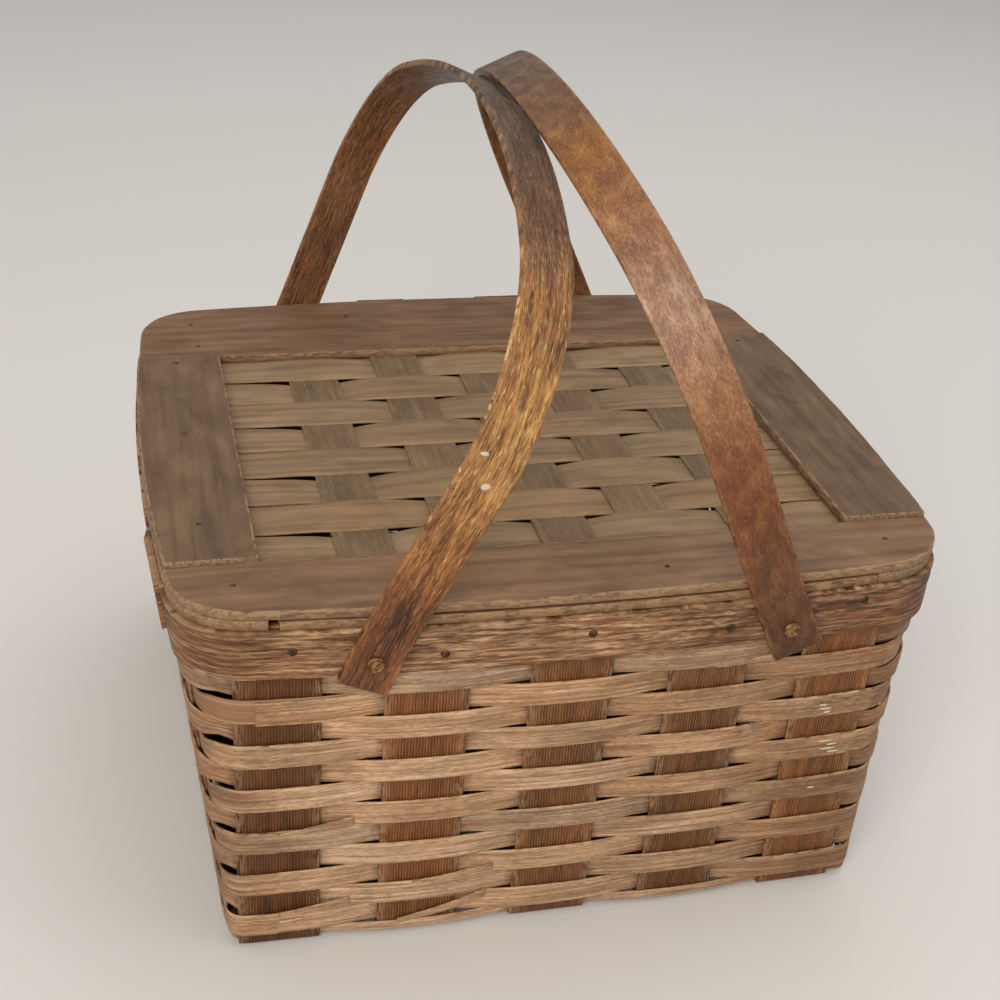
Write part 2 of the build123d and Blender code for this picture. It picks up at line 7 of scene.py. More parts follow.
import bmesh
import bpy
import numpy as np
from mathutils import Matrix, Vector, noise


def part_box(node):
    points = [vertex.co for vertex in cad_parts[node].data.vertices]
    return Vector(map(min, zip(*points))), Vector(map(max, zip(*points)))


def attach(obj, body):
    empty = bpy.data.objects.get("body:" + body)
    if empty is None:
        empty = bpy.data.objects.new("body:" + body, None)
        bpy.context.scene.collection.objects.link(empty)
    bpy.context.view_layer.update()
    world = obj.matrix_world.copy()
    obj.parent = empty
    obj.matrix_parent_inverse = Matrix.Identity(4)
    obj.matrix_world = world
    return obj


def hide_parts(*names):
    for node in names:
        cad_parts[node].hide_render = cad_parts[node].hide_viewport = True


bl_info = {
    "name": "Splint Picnic Basket",
    "version": (1, 0, 0),
    "blender": (4, 5, 0),
    "location": "View3D > Sidebar > Basket",
    "description": "Dresses a packed picnic basket in woven splints, boards and bentwood handles",
    "category": "Add Mesh",
}

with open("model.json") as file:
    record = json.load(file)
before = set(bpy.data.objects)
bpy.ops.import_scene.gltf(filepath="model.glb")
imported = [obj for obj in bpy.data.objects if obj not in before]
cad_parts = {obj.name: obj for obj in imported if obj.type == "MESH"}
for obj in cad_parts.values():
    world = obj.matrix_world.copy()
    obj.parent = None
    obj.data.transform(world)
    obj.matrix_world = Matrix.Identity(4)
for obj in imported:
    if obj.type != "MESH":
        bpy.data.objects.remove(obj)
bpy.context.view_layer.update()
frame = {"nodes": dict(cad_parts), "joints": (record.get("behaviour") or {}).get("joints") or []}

MM = 0.001
# Walls are numbered front, right, back and left, and stakes run on from the front left in that order.
# A place round the basket is counted in stakes: 0 is the middle of the first stake, 20 is once round.
STAKES_A_WALL = 5
STAKES = 4 * STAKES_A_WALL
# Which way the count goes along x or y on each wall
FORWARD = (1, 1, -1, -1)
# Half of a stake's width, counted in places
STAKE_REACH = 0.28
# Vertices across a splint, and their places from edge to edge
STRANDS = 9
ACROSS = np.linspace(-0.5, 0.5, STRANDS)[None, :]

RIM_LOW, RIM_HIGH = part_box("rim_outer_band")
RIM_TOP = RIM_HIGH.z


def joint_place(name):
    """The point that a joint turns about."""
    return Vector(next(j["pos_m"] for j in frame["joints"] if j["name"] == name))


# Settings that a user would change


def millimetres(name, description, size):
    """A length, given in millimetres and kept in the scene's units."""
    return bpy.props.FloatProperty(name=name, description=description, default=size * MM, unit="LENGTH")


def hex_colour(name, description, code):
    """A colour, given as sRGB hex."""
    return bpy.props.StringProperty(name=name, description=description, default=code)


class BasketPlan(bpy.types.PropertyGroup):
    """Plan of the tapered body."""

    base_length: millimetres("Base Length", "Left to right, at the table", 324)
    base_depth: millimetres("Base Depth", "Front to back, at the table", 326)
    rim_bow: millimetres("Rim Bow", "How far the middle of each side stands out", 10)
    base_bow: millimetres("Base Bow", "The same at the table", 2)
    rim_corner: millimetres("Rim Corner", "Corner radius at the rim", 36)
    base_corner: millimetres("Base Corner", "Corner radius at the table", 10)


class SplintSizes(bpy.types.PropertyGroup):
    """Sizes of the splints of the body and the lid."""

    stake_width: millimetres("Stake Width", "Width of an upright splint", 37.5)
    stake_thickness: millimetres("Stake Thickness", "Thickness of an upright splint", 1.2)
    stake_inset: millimetres("Stake Inset", "Depth of the stakes below the outside", 4.5)
    long_shift: millimetres("Stake Shift", "How far the front stakes sit off the middle", -4)
    long_pitch: millimetres("Front Pitch", "Stake spacing on the front and back", 65)
    cross_pitch: millimetres("Side Pitch", "Stake spacing on the sides", 60)
    weaver_width: millimetres("Weaver Width", "Width where a weaver crosses to the other side", 12.0)
    weaver_spread: millimetres("Weaver Spread", "Extra width where a weaver passes in front", 0.5)
    weaver_thickness: millimetres("Weaver Thickness", "Thickness of a weaver", 1.0)
    weaver_swing: millimetres("Weaver Swing", "Distance of a weaver from the stakes' middle", 1.5)
    lid_splint_width: millimetres("Lid Splint Width", "Width of a left-right splint", 25.6)
    cross_splint_width: millimetres("Cross Splint Width", "Width of a front-back splint", 26.0)
    lid_splint_thickness: millimetres("Lid Splint Thickness", "Thickness of the lid's splints", 0.8)


class HandleSizes(bpy.types.PropertyGroup):
    """Sizes of the bent handle bands."""

    band_width: millimetres("Band Width", "Width of a handle band", 24)
    band_thickness: millimetres("Band Thickness", "Thickness of a handle band", 3.6)
    edge_round: millimetres("Edge Round", "Wear along the band's edges", 0.9)


class BasketColours(bpy.types.PropertyGroup):
    """Main colours."""

    stake: hex_colour("Stake", "Upright splints", "#64381c")
    weaver: hex_colour("Weaver", "Body weavers", "#b08966")
    rim: hex_colour("Rim", "Rim band", "#936741")
    slat: hex_colour("Slat", "Lid boards", "#775a40")
    splint: hex_colour("Splint", "Left-right lid splints", "#947858")
    cross: hex_colour("Cross Splint", "Front-back lid splints", "#6d543b")
    handle: hex_colour("Handle", "Handle bands", "#99592a")
    floor: hex_colour("Floor", "Floor and backdrop", "#d6d3cf")


def settings(name):
    """One group of settings of the scene."""
    return getattr(bpy.context.scene, name)


def linear(code):
    """An sRGB hex colour as linear values."""
    parts = [int(code[k : k + 2], 16) / 255 for k in (1, 3, 5)]
    return [c / 12.92 if c <= 0.04045 else ((c + 0.055) / 1.055) ** 2.4 for c in parts] + [1.0]


# Plan of the body


def plan_sizes(z):
    """Half length, half depth, bow and corner radius of the body's outside at height z."""
    plan = settings("basket_plan")
    share = z / RIM_TOP
    half_x = (plan.base_length * (1 - share) + (RIM_HIGH.x - RIM_LOW.x) * share) / 2
    half_y = (plan.base_depth * (1 - share) + (RIM_HIGH.y - RIM_LOW.y) * share) / 2
    bow = plan.base_bow * (1 - share) + plan.rim_bow * share
    corner = plan.base_corner * (1 - share) + plan.rim_corner * share
    return half_x, half_y, bow, corner


def quadrant(sizes, inset, steps=60):
    """Points of the bowed outline from the middle of the right side round to the middle of the back."""
    half_x, half_y, bow, corner = sizes
    # Long and side walls are arcs about points on the axes, and the corner's arc touches both
    long_radius = (half_x**2 + bow**2) / (2 * bow)
    side_radius = (half_y**2 + bow**2) / (2 * bow)
    long_back, side_back = long_radius - half_y, side_radius - half_x
    near, far = long_radius - corner, side_radius - corner
    span = math.hypot(side_back, long_back)
    along = (near**2 - far**2 + span**2) / (2 * span)
    rise = math.sqrt(near**2 - along**2)
    corner_x = (-side_back * along + long_back * rise) / span
    corner_y = -long_back + (long_back * along + side_back * rise) / span
    first = math.atan2(corner_y, corner_x + side_back)
    last = math.atan2(corner_y + long_back, corner_x)
    arcs = (
        (-side_back, 0, side_radius - inset, 0, first),
        (corner_x, corner_y, corner - inset, first, last),
        (0, -long_back, long_radius - inset, last, math.pi / 2),
    )
    points = []
    for number, (x, y, radius, start, end) in enumerate(arcs):
        turn = np.linspace(start, end, steps)[: None if number == 2 else -1]
        points.append(np.stack([x + radius * np.cos(turn), y + radius * np.sin(turn)], 1))
    return np.vstack(points)


def mirrored(quarter):
    """The closed outline from its back right quarter, counterclockwise from the middle of the front."""
    flip = quarter[::-1]
    return np.vstack([
        flip * [1, -1], quarter[1:], (flip * [-1, 1])[1:], (quarter * [-1, -1])[1:],
    ])


def run_along(points):
    """Length run along a line of points."""
    step = np.linalg.norm(np.diff(points, axis=0), axis=1)
    return np.concatenate([[0], np.cumsum(step)])


def stake_places():
    """Wall and place on it of every stake end, in the order of the count."""
    splints = settings("splint_sizes")
    steps = [k - (STAKES_A_WALL - 1) / 2 for k in range(STAKES_A_WALL)]
    front = [splints.long_shift + splints.long_pitch * step for step in steps]
    side = [splints.cross_pitch * step for step in steps]
    walls = (front, side, front[::-1], side[::-1])
    return [(wall, centre) for wall, centres in enumerate(walls) for centre in centres]


class Outline:
    """Closed plan outline at one height, read by the place round the basket.

    Whole places are the middles of stakes, so they match from one height to the next."""

    def __init__(self, z, inset):
        self.part = quadrant(plan_sizes(z), inset)
        self.part_run = run_along(self.part)
        self.length = self.part_run[-1]
        self.around = mirrored(self.part)
        self.run = run_along(self.around)
        self.total = self.run[-1]
        tangent = np.gradient(self.around, self.run, axis=0)
        tangent[0] = tangent[-1] = (tangent[0] + tangent[-1]) / 2
        tangent /= np.linalg.norm(tangent, axis=1)[:, None]
        self.normal = np.stack([tangent[:, 1], -tangent[:, 0]], 1)
        half = settings("splint_sizes").stake_width / 2
        ends = [
            (k + end * STAKE_REACH, self.run_at(wall, centre + FORWARD[wall] * end * half))
            for k, (wall, centre) in enumerate(stake_places())
            for end in (-1, 1)
        ]
        laps = (-1, 0, 1)
        self.places = np.array([place + lap * STAKES for lap in laps for place, _ in ends])
        self.runs = np.array([run + lap * self.total for lap in laps for _, run in ends])

    def half_reach(self, along, axis):
        """Distance of the outline from the middle, beside places along x (axis 0) or y (axis 1)."""
        part = self.part[np.argsort(self.part[:, axis])]
        return np.interp(abs(along), part[:, axis], part[:, 1 - axis])

    def run_at(self, wall, along):
        """Length run from the middle of the front to a place on a wall."""
        axis = wall % 2
        order = np.argsort(self.part[:, axis])
        part = np.interp(abs(along), self.part[order, axis], self.part_run[order])
        away = part if axis else self.length - part
        return wall * self.length + FORWARD[wall] * math.copysign(away, along)

    def at_run(self, runs):
        """Points and outward normals at lengths run from the middle of the front."""
        inside = np.mod(runs, self.total)
        return [
            np.stack([np.interp(inside, self.run, table[:, k]) for k in (0, 1)], -1)
            for table in (self.around, self.normal)
        ]

    def at(self, places):
        """Points, outward normals and length run at places round the basket."""
        runs = np.interp(places, self.places, self.runs)
        return *self.at_run(runs), runs


class Wall:
    """The sloping wall between two heights."""

    def __init__(self, low, high, inset):
        self.lower, self.upper = Outline(low, inset), Outline(high, inset)

    def run(self, places):
        """Length run at places round the basket, which may go past once round."""
        return self.lower.at(places)[2]

    def points(self, places, share, out, z):
        """Points a share of the way up the wall and moved out from it, set at heights z."""
        below, normal, _ = self.lower.at(places % STAKES)
        above = self.upper.at(places % STAKES)[0]
        share = share[..., None]
        base = below[:, None] * (1 - share) + above[:, None] * share
        return np.concatenate([base + normal[:, None] * out[..., None], z[..., None]], -1)


def wobble(values, scale, seed):
    """Smooth noise between -1 and 1 along a list of values."""
    flat = np.asarray(values, float).ravel()
    made = [noise.noise(Vector((v * scale, seed * 7.31, seed * 1.7))) for v in flat]
    return np.array(made).reshape(np.shape(values))


def wobble_on(first, second, scales, seed):
    """Smooth noise between -1 and 1 over two tables of values."""
    first, second = np.broadcast_arrays(first, second)
    made = [
        noise.noise(Vector((a * scales[0], b * scales[1], seed * 3.77)))
        for a, b in zip(first.ravel(), second.ravel())
    ]
    return np.array(made).reshape(first.shape)


def smoothed(values, window):
    """Each value averaged with its neighbours, weighted by a window of odd length."""
    return np.convolve(np.pad(values, len(window) // 2, "edge"), window / window.sum(), "valid")


# Meshes


def piece(name, bm, body, node, material):
    """Turn a bmesh into a piece that rides on a body and stands for a CAD node, if it has one."""
    mesh = bpy.data.meshes.new(name)
    bm.to_mesh(mesh)
    bm.free()
    made = bpy.data.objects.new(name, mesh)
    bpy.context.scene.collection.objects.link(made)
    mesh.shade_smooth()
    mesh.set_sharp_from_angle(angle=math.radians(40))
    mesh.materials.append(bpy.data.materials[material])
    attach(made, body)
    if node:
        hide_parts(node)
    return made


def closed_piece(name, bm, body, node, material):
    """A piece made of closed shells, whose faces are turned outwards."""
    bmesh.ops.recalc_face_normals(bm, faces=bm.faces[:])
    piece(name, bm, body, node, material)


def paint(bm, shade, wear_and_highlight, tint):
    """Write each vertex's darkening (painted shade in crevices, and soil), its paling (edge wear and
    painted highlight) and its tint, read by vertex index.
    """
    tone = bm.verts.layers.float.new("shade")
    rub = bm.verts.layers.float.new("wear_and_highlight")
    hue = bm.verts.layers.float_color.new("tint")
    for vert in bm.verts:
        vert[tone] = shade[vert.index]
        vert[rub] = wear_and_highlight[vert.index]
        vert[hue] = (*tint[vert.index], 1)


def sheet_mesh(points, along, across, shade=1.0, wear_and_highlight=0.0, tint=1.0):
    """A grid of points, with each one's way along and across the grain, its darkening by painted shade and
    soil, its paling by wear and painted highlight, and its tint.
    """
    size = points.shape[:2]
    rows, columns = size[0] - 1, size[1] - 1
    bm = bmesh.new()
    layer = bm.loops.layers.uv.new("UVMap")
    bmesh.ops.create_grid(bm, x_segments=rows, y_segments=columns, size=0.5)
    for vert in bm.verts:
        i = round((vert.co.x + 0.5) * rows)
        j = round((vert.co.y + 0.5) * columns)
        vert.index = i * (columns + 1) + j
    shade, wear_and_highlight, along, across = (np.broadcast_to(v, size).ravel() for v in (shade, wear_and_highlight, along, across))
    paint(bm, shade, wear_and_highlight, np.broadcast_to(tint, size + (3,)).reshape(-1, 3))
    for face in bm.faces:
        for loop in face.loops:
            loop[layer].uv = along[loop.vert.index], across[loop.vert.index]
    flat = points.reshape(-1, 3)
    for vert in bm.verts:
        vert.co = flat[vert.index]
    return bm


def piece_tint(name, spread, along, seed, drift=0.1):
    """Tint of one splint: its own lightness and warmth, drifting along its length."""
    dice = random.Random(name + "tint")
    light, warm = 1 + spread * dice.uniform(-1, 1), 0.05 * dice.uniform(-1, 1)
    run = 1 + drift * wobble(along, 9, seed) + 0.6 * drift * wobble(along, 31, seed + 3)
    colour = np.array([1 + warm, 1, 1 - 1.4 * warm]) * light
    return run[:, None, None] * colour


def aged_and_shaded(places, table, warmth):
    """Tint of old wood and painted shade: its lightness round the basket, the darker the warmer."""
    return np.interp(places % STAKES, *table)[:, None, None] ** np.array(warmth)


def thicken(made, thickness, edge, segments=1):
    """Give a sheet its thickness and worn edges."""
    solid = made.modifiers.new("Thickness", "SOLIDIFY")
    solid.thickness = thickness
    solid.offset = 0
    solid.use_even_offset = True
    worn = made.modifiers.new("Worn edges", "BEVEL")
    worn.width = edge
    worn.segments = segments
    worn.limit_method = "ANGLE"
    worn.angle_limit = math.radians(50)


def lathe(bm, profile, place, outward, steps):
    """Add a solid of revolution: profile holds (radius, height) from end to end."""
    before = set(bm.verts)
    verts = [bm.verts.new((radius, 0, height)) for radius, height in profile]
    edges = [bm.edges.new(pair) for pair in zip(verts, verts[1:])]
    bmesh.ops.spin(
        bm, geom=verts + edges, cent=(0, 0, 0), axis=(0, 0, 1), angle=math.tau, steps=steps, use_merge=True
    )
    fresh = [v for v in bm.verts if v not in before]
    bmesh.ops.remove_doubles(bm, verts=fresh, dist=1e-6)
    turn = Vector((0, 0, 1)).rotation_difference(Vector(outward).normalized())
    to_place = Matrix.Translation(place) @ turn.to_matrix().to_4x4()
    bmesh.ops.transform(bm, matrix=to_place, verts=[v for v in bm.verts if v not in before])


# Finishes


def add_node(tree, kind, values=(), stops=None, **options):
    """A node with its options, its inputs set to values or linked to sockets, and any ramp stops."""
    made = tree.nodes.new(kind)
    for key, value in options.items():
        setattr(made, key, value)
    for key, value in dict(values).items():
        if isinstance(value, bpy.types.NodeSocket):
            tree.links.new(value, made.inputs[key])
        else:
            made.inputs[key].default_value = value
    if stops:
        ramp = made.color_ramp
        while len(ramp.elements) < len(stops):
            ramp.elements.new(0.5)
        for element, (place, colour) in zip(ramp.elements, stops):
            element.position = place
            element.color = linear(colour) if isinstance(colour, str) else (colour, colour, colour, 1)
    return made


def new_finish(name):
    """The node tree of a new material."""
    made = bpy.data.materials.new(name)
    made.use_nodes = True
    return made.node_tree


def wood(name, dark, mid, light, grain, fibres, pores, patches, gloss, depth, pale, pored, ribs=None,
         coat=0.0, specular=0.35, raw_and_highlight="#c8a880", fibre=None):
    """Wood whose grain runs along the UV's first direction. Sizes are in mm, gloss is the roughness.

    grain, fibres and pores are the width and length of the growth lines, pale fibres and dark pores,
    and pale and pored how much they show; patches is the size and strength of the drift in tone;
    depth is the relief; ribs is the pitch of raised growth ridges. raw shows where wear has rubbed
    through and also paints highlights along edges, fibre on fibres and ridges. The shade attribute
    darkens towards a soil colour: painted shade in hollows, and soil."""
    tree = new_finish(name)
    tree.nodes.clear()
    uv = add_node(tree, "ShaderNodeUVMap", uv_map="UVMap").outputs[0]
    shade, wear_and_highlight, tint = (
        add_node(tree, "ShaderNodeAttribute", attribute_name=layer).outputs[socket]
        for layer, socket in (("shade", "Fac"), ("wear_and_highlight", "Fac"), ("tint", "Color"))
    )

    def stretched(size, detail, seed, distortion=0.0, kind="ShaderNodeTexNoise", **inputs):
        """A texture stretched to a width and length along the piece."""
        width, length = size
        spread = add_node(tree, "ShaderNodeMapping", {
            "Vector": uv,
            "Scale": (1 / (length * MM), 1 / (width * MM), 1),
            "Location": (seed, seed * 2.3, seed),
        })
        values = {"Vector": spread.outputs[0], "Scale": 1.0, "Detail": detail, "Distortion": distortion}
        return add_node(tree, kind, {**values, **inputs})

    def marks(size, detail, seed, stops):
        """Marks of a size, where the ramp's stops turn the noise on or off."""
        pattern = stretched(size, detail, seed).outputs[0]
        return add_node(tree, "ShaderNodeValToRGB", {0: pattern}, stops=stops).outputs[0]

    growth = stretched(grain, 3.0, 0.0, 0.4).outputs[0]
    pale_fibres = marks(fibres, 1.5, 3.1, [(0.55, 0.0), (0.64, pale)])
    dark_pores = marks(pores, 1.0, 9.2, [(0.33, pored), (0.45, 0.0)])
    size, strength = patches
    drift = stretched((size, size * 2.2), 4.0, 7.7, 0.6).outputs[0]
    tone = add_node(tree, "ShaderNodeValToRGB", {0: drift}, stops=[(0.32, 1 - strength), (0.68, 1.0)])
    # Darkening from the shade attribute, broken into streaks: painted shade in crevices, under the rim and
    # in splits, and soil on the handles' feet
    soil_and_shade = add_node(tree, "ShaderNodeMath", {0: 1.0, 1: shade}, operation="SUBTRACT", use_clamp=True)
    streaks = marks((0.8, 8), 2.0, 15.3, [(0.4, 1.0), (0.62, 0.45)])
    soil_and_shade = add_node(tree, "ShaderNodeMath", {0: soil_and_shade.outputs[0], 1: streaks}, operation="MULTIPLY")
    # Pale raw colour where wear rubs through, and painted highlight along the edges of weavers and handles
    chips = marks((1.1, 5.0), 3.0, 12.4, [(0.42, 0.0), (0.56, 1.0)])
    rubbed_and_highlit = add_node(tree, "ShaderNodeMath", {0: wear_and_highlight, 1: chips}, operation="MULTIPLY", use_clamp=True)
    layers = [
        (pale_fibres, linear(fibre or light), "MIX"),
        (dark_pores, linear(dark), "MIX"),
        (1.0, tone.outputs[0], "MULTIPLY"),
        (1.0, tint, "MULTIPLY"),
        (soil_and_shade.outputs[0], linear("#1d1009"), "MIX"),
        (rubbed_and_highlit.outputs[0], linear(raw_and_highlight), "MIX"),
    ]
    height = growth
    if ribs:
        # The wave repeats every 2 pi / 20 of its coordinate, so this scale gives one ridge per pitch
        waves = stretched(
            (ribs, 60), 2.0, 1.3, 1.1, "ShaderNodeTexWave", **{"Scale": 0.314, "Detail Scale": 0.7}
        )
        waves.bands_direction = "Y"
        ridge = add_node(
            tree, "ShaderNodeValToRGB", {0: waves.outputs["Fac"]}, stops=[(0.3, 0.0), (0.8, 1.0)]
        ).outputs[0]
        broken = stretched((ribs * 1.2, 7), 2.0, 5.5).outputs[0]
        crest = add_node(tree, "ShaderNodeMath", {0: ridge, 1: broken}, operation="MULTIPLY").outputs[0]
        layers.insert(0, (crest, linear(fibre or light), "MIX"))
        height = add_node(tree, "ShaderNodeMath", {0: ridge, 1: growth}, operation="ADD").outputs[0]
    colour = add_node(
        tree, "ShaderNodeValToRGB", {0: growth}, stops=[(0.34, dark), (0.5, mid), (0.68, light)]
    ).outputs[0]
    for share, over, blend in layers:
        colour = add_node(
            tree, "ShaderNodeMix", {0: share, 6: colour, 7: over}, data_type="RGBA", blend_type=blend
        ).outputs[2]
    rough = add_node(
        tree, "ShaderNodeMapRange", {0: drift, 1: 0.3, 2: 0.7, 3: gloss + 0.1, 4: gloss - 0.08}
    )
    relief = add_node(tree, "ShaderNodeMath", {0: height, 1: pale_fibres}, operation="ADD").outputs[0]
    relief = add_node(tree, "ShaderNodeMath", {0: relief, 1: dark_pores}, operation="SUBTRACT").outputs[0]
    bump = add_node(tree, "ShaderNodeBump", {"Height": relief, "Strength": 1.0, "Distance": depth * MM})
    shader = add_node(tree, "ShaderNodeBsdfPrincipled", {
        "Base Color": colour, "Roughness": rough.outputs[0], "Normal": bump.outputs[0], "IOR": 1.5,
        "Specular IOR Level": specular, "Coat Weight": coat, "Coat Roughness": 0.25,
    })
    add_node(tree, "ShaderNodeOutputMaterial", {"Surface": shader.outputs[0]})


def metal(name, colour, tarnish, roughness):
    """Old metal with dull patches of about 2 mm."""
    tree = new_finish(name)
    tree.nodes.clear()
    place = add_node(tree, "ShaderNodeTexCoord").outputs["Object"]
    patches = add_node(
        tree, "ShaderNodeTexNoise", {"Vector": place, "Scale": 450.0, "Detail": 4.0}
    ).outputs[0]
    mixed = add_node(tree, "ShaderNodeValToRGB", {0: patches}, stops=[(0.4, tarnish), (0.62, colour)])
    rough = add_node(
        tree, "ShaderNodeMapRange", {0: patches, 1: 0.3, 2: 0.7, 3: roughness + 0.2, 4: roughness}
    )
    bump = add_node(tree, "ShaderNodeBump", {"Height": patches, "Strength": 0.4, "Distance": 0.05 * MM})
    shader = add_node(tree, "ShaderNodeBsdfPrincipled", {
        "Base Color": mixed.outputs[0], "Metallic": 1.0, "Roughness": rough.outputs[0],
        "Normal": bump.outputs[0],
    })
    add_node(tree, "ShaderNodeOutputMaterial", {"Surface": shader.outputs[0]})


def plain(name, colour, roughness):
    """A matt finish of one colour."""
    shader = new_finish(name).nodes["Principled BSDF"]
    shader.inputs["Base Color"].default_value = linear(colour)
    shader.inputs["Roughness"].default_value = roughness


class BASKET_OT_finishes(bpy.types.Operator):
    """Make the wood and metal finishes"""

    bl_idname = "basket.finishes"
    bl_label = "Finishes"

    def execute(self, context):
        colours = settings("basket_colours")
        # Stakes split across the growth rings, stained dark between pale raised ribs
        wood("Ribbed stake splint", "#4c2812", colours.stake, "#824e26", (4.0, 40), (0.3, 4), (0.4, 4),
             (16, 0.26), 0.55, 0.26, pale=0.3, pored=0.35, ribs=1.35, fibre="#ae7642")
        # Thin ash weavers with long fine fibres, golden under a worn old varnish
        wood("Golden weaver splint", "#936845", colours.weaver, "#cfad8b", (1.5, 60), (0.3, 6), (0.35, 4),
             (11, 0.36), 0.52, 0.18, pale=0.6, pored=0.7)
        # Bent rim band of the same ash, weathered until its fibres lift
        wood("Bent rim band", "#5e3319", colours.rim, "#cfa682", (1.6, 28), (0.5, 9), (0.7, 6),
             (11, 0.42), 0.56, 0.45, pale=0.55, pored=0.6)
        # Flat sawn lid boards, dusty greyish brown with the varnish nearly gone
        wood("Weathered lid board", "#664d36", colours.slat, "#816548", (6.0, 90), (0.5, 6), (0.6, 5),
             (15, 0.36), 0.62, 0.1, pale=0.22, pored=0.34, raw_and_highlight="#b0916a")
        # Left-right lid splints, paler and smoother
        wood("Pale lid splint", "#846546", colours.splint, "#9e7e5a", (4.0, 90), (0.4, 7), (0.5, 5),
             (13, 0.28), 0.6, 0.1, pale=0.25, pored=0.4, raw_and_highlight="#b3946c")
        # Front-back lid splints, dark with pale raised fibres
        wood("Dark cross splint", "#624a33", colours.cross, "#7d6448", (3.0, 60), (0.4, 8), (0.5, 6),
             (15, 0.3), 0.6, 0.13, pale=0.25, pored=0.4, ribs=1.3, raw_and_highlight="#b3946c", fibre="#93795a")
        # Steam-bent ash handles under a thick crazed orange varnish
        wood("Varnished handle", "#6a3519", colours.handle, "#b8743a", (2.0, 22), (0.3, 5.5), (0.42, 5.5),
             (9, 0.3), 0.45, 0.36, pale=0.75, pored=0.8, coat=0.08, specular=0.3, raw_and_highlight="#b98855",
             fibre="#dca763")
        # The other handle, its varnish crazed into crusts instead of streaks
        wood("Crusted handle", "#834a24", colours.handle, "#ad6f3a", (6.0, 11), (0.8, 2.4), (0.9, 2.4),
             (8, 0.26), 0.45, 0.4, pale=0.3, pored=0.55, coat=0.08, specular=0.3, raw_and_highlight="#b98855",
             fibre="#c68f58")
        # Mild steel, dull and browned by rust and old varnish
        metal("Rusted steel rivet", "#a9825a", "#6d4c33", 0.45)
        metal("Rusted nail", "#6b5745", "#4a382a", 0.55)
        # Rolled brass, tarnished brown
        metal("Aged brass", "#947649", "#6d5433", 0.42)
        # Matt household paint, greyed by dirt
        plain("Dried white paint", "#c4b8a4", 0.6)
        return {"FINISHED"}


# Body


class BASKET_OT_stakes(bpy.types.Operator):
    """Upright splints that run down one wall, under the floor and up the other"""

    bl_idname = "basket.stakes"
    bl_label = "Stakes"

    # Heights below which a stake is finely divided and where it turns under
    foot, bend = 12 * MM, 3.0 * MM
    # How far it rises where it crosses over another, and half the length of a crossing
    lift, crossing = 1.45 * MM, 19 * MM
    # Stakes darker than the rest: the first, by the left corner, with painted shade where less light
    # falls; the fourth a little darker
    tints = {"long_stake_1": (0.6, 0.55, 0.5), "long_stake_4": (0.86, 0.83, 0.8)}

    def execute(self, context):
        ring = stake_places()
        front, side = ([centre for wall, centre in ring if wall == one] for one in (0, 1))
        for number, centre in enumerate(front):
            self.stake(f"long_stake_{number + 1}", True, number, centre, side)
        for number, centre in enumerate(side):
            self.stake(f"cross_stake_{number + 1}", False, number + 1, centre, front)
        return {"FINISHED"}

    def stake(self, name, lengthwise, number, centre, crossed):
        splints = settings("splint_sizes")
        offsets = centre + ACROSS[0] * splints.stake_width
        half = splints.stake_thickness / 2
        levels = [self.lift * ((k + number) % 2) for k in range(STAKES_A_WALL)]
        heights = np.concatenate([
            np.linspace(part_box(name)[1].z, self.foot, 30), np.linspace(self.foot, self.bend, 4)[1:],
        ])
        edge = np.array([
            Outline(z, splints.stake_inset).half_reach(offsets, 0 if lengthwise else 1) for z in heights
        ])
        turn = np.linspace(0, math.pi / 2, 7)[1:]
        legs = []
        for sign, level in ((-1, levels[0]), (1, levels[-1])):
            radius = self.bend - half - level
            under = edge[-1] - radius * (1 - np.cos(turn))[:, None]
            down = np.append(heights, self.bend - radius * np.sin(turn))
            legs.append((sign * np.vstack([edge, under]), down))
        (near, near_z), (far, far_z) = legs
        floor = near[-1] + (far[-1] - near[-1]) * np.linspace(0, 1, 62)[1:-1, None]
        knots = np.add.outer(crossed, (-self.crossing, self.crossing)).ravel()
        rise = smoothed(np.interp(floor.mean(1), knots, np.repeat(levels, 2)), np.ones(5))
        along = np.vstack([near, floor, far[::-1]])
        z = np.concatenate([near_z, half + rise, far_z[::-1]])[:, None]
        side, z = (np.broadcast_to(values, along.shape) for values in (offsets, z))
        points = np.stack([side, along, z] if lengthwise else [along, side, z], -1)
        if not lengthwise:
            points = points[:, ::-1]
        run = run_along(points[:, STRANDS // 2])
        seed = random.Random(name).random() * 4
        # Painted shade below the rim, and darker near the table
        shade = 1 - 0.35 * np.clip((z - RIM_LOW.z + 6 * MM) / (10 * MM), 0, 1)
        shade -= 0.25 * np.clip(1 - z / (30 * MM), 0, 1)
        tint = piece_tint(name, 0.08, run, seed) * np.array(self.tints.get(name, (0.98, 0.96, 0.93)))
        bm = sheet_mesh(
            points, run[:, None] + seed, ACROSS * splints.stake_width + seed * 3, shade,
            0.35 * np.abs(2 * ACROSS) ** 6, tint,
        )
        made = piece(f"{name}_splint", bm, "basket", name, "Ribbed stake splint")
        thicken(made, splints.stake_thickness, 0.2 * MM)


def swing_at(places, row):
    """Distance of a weaver from the stakes' middle, and how far it stands in front, from 0 to 1."""
    wave = -np.cos(np.pi * (places + row))
    swing = np.tanh(1.9 * wave) / np.tanh(1.9)
    crown = 0.45 * MM * np.maximum(swing, 0) * np.abs(wave) ** 2
    return settings("splint_sizes").weaver_swing * swing + crown, (swing + 1) / 2


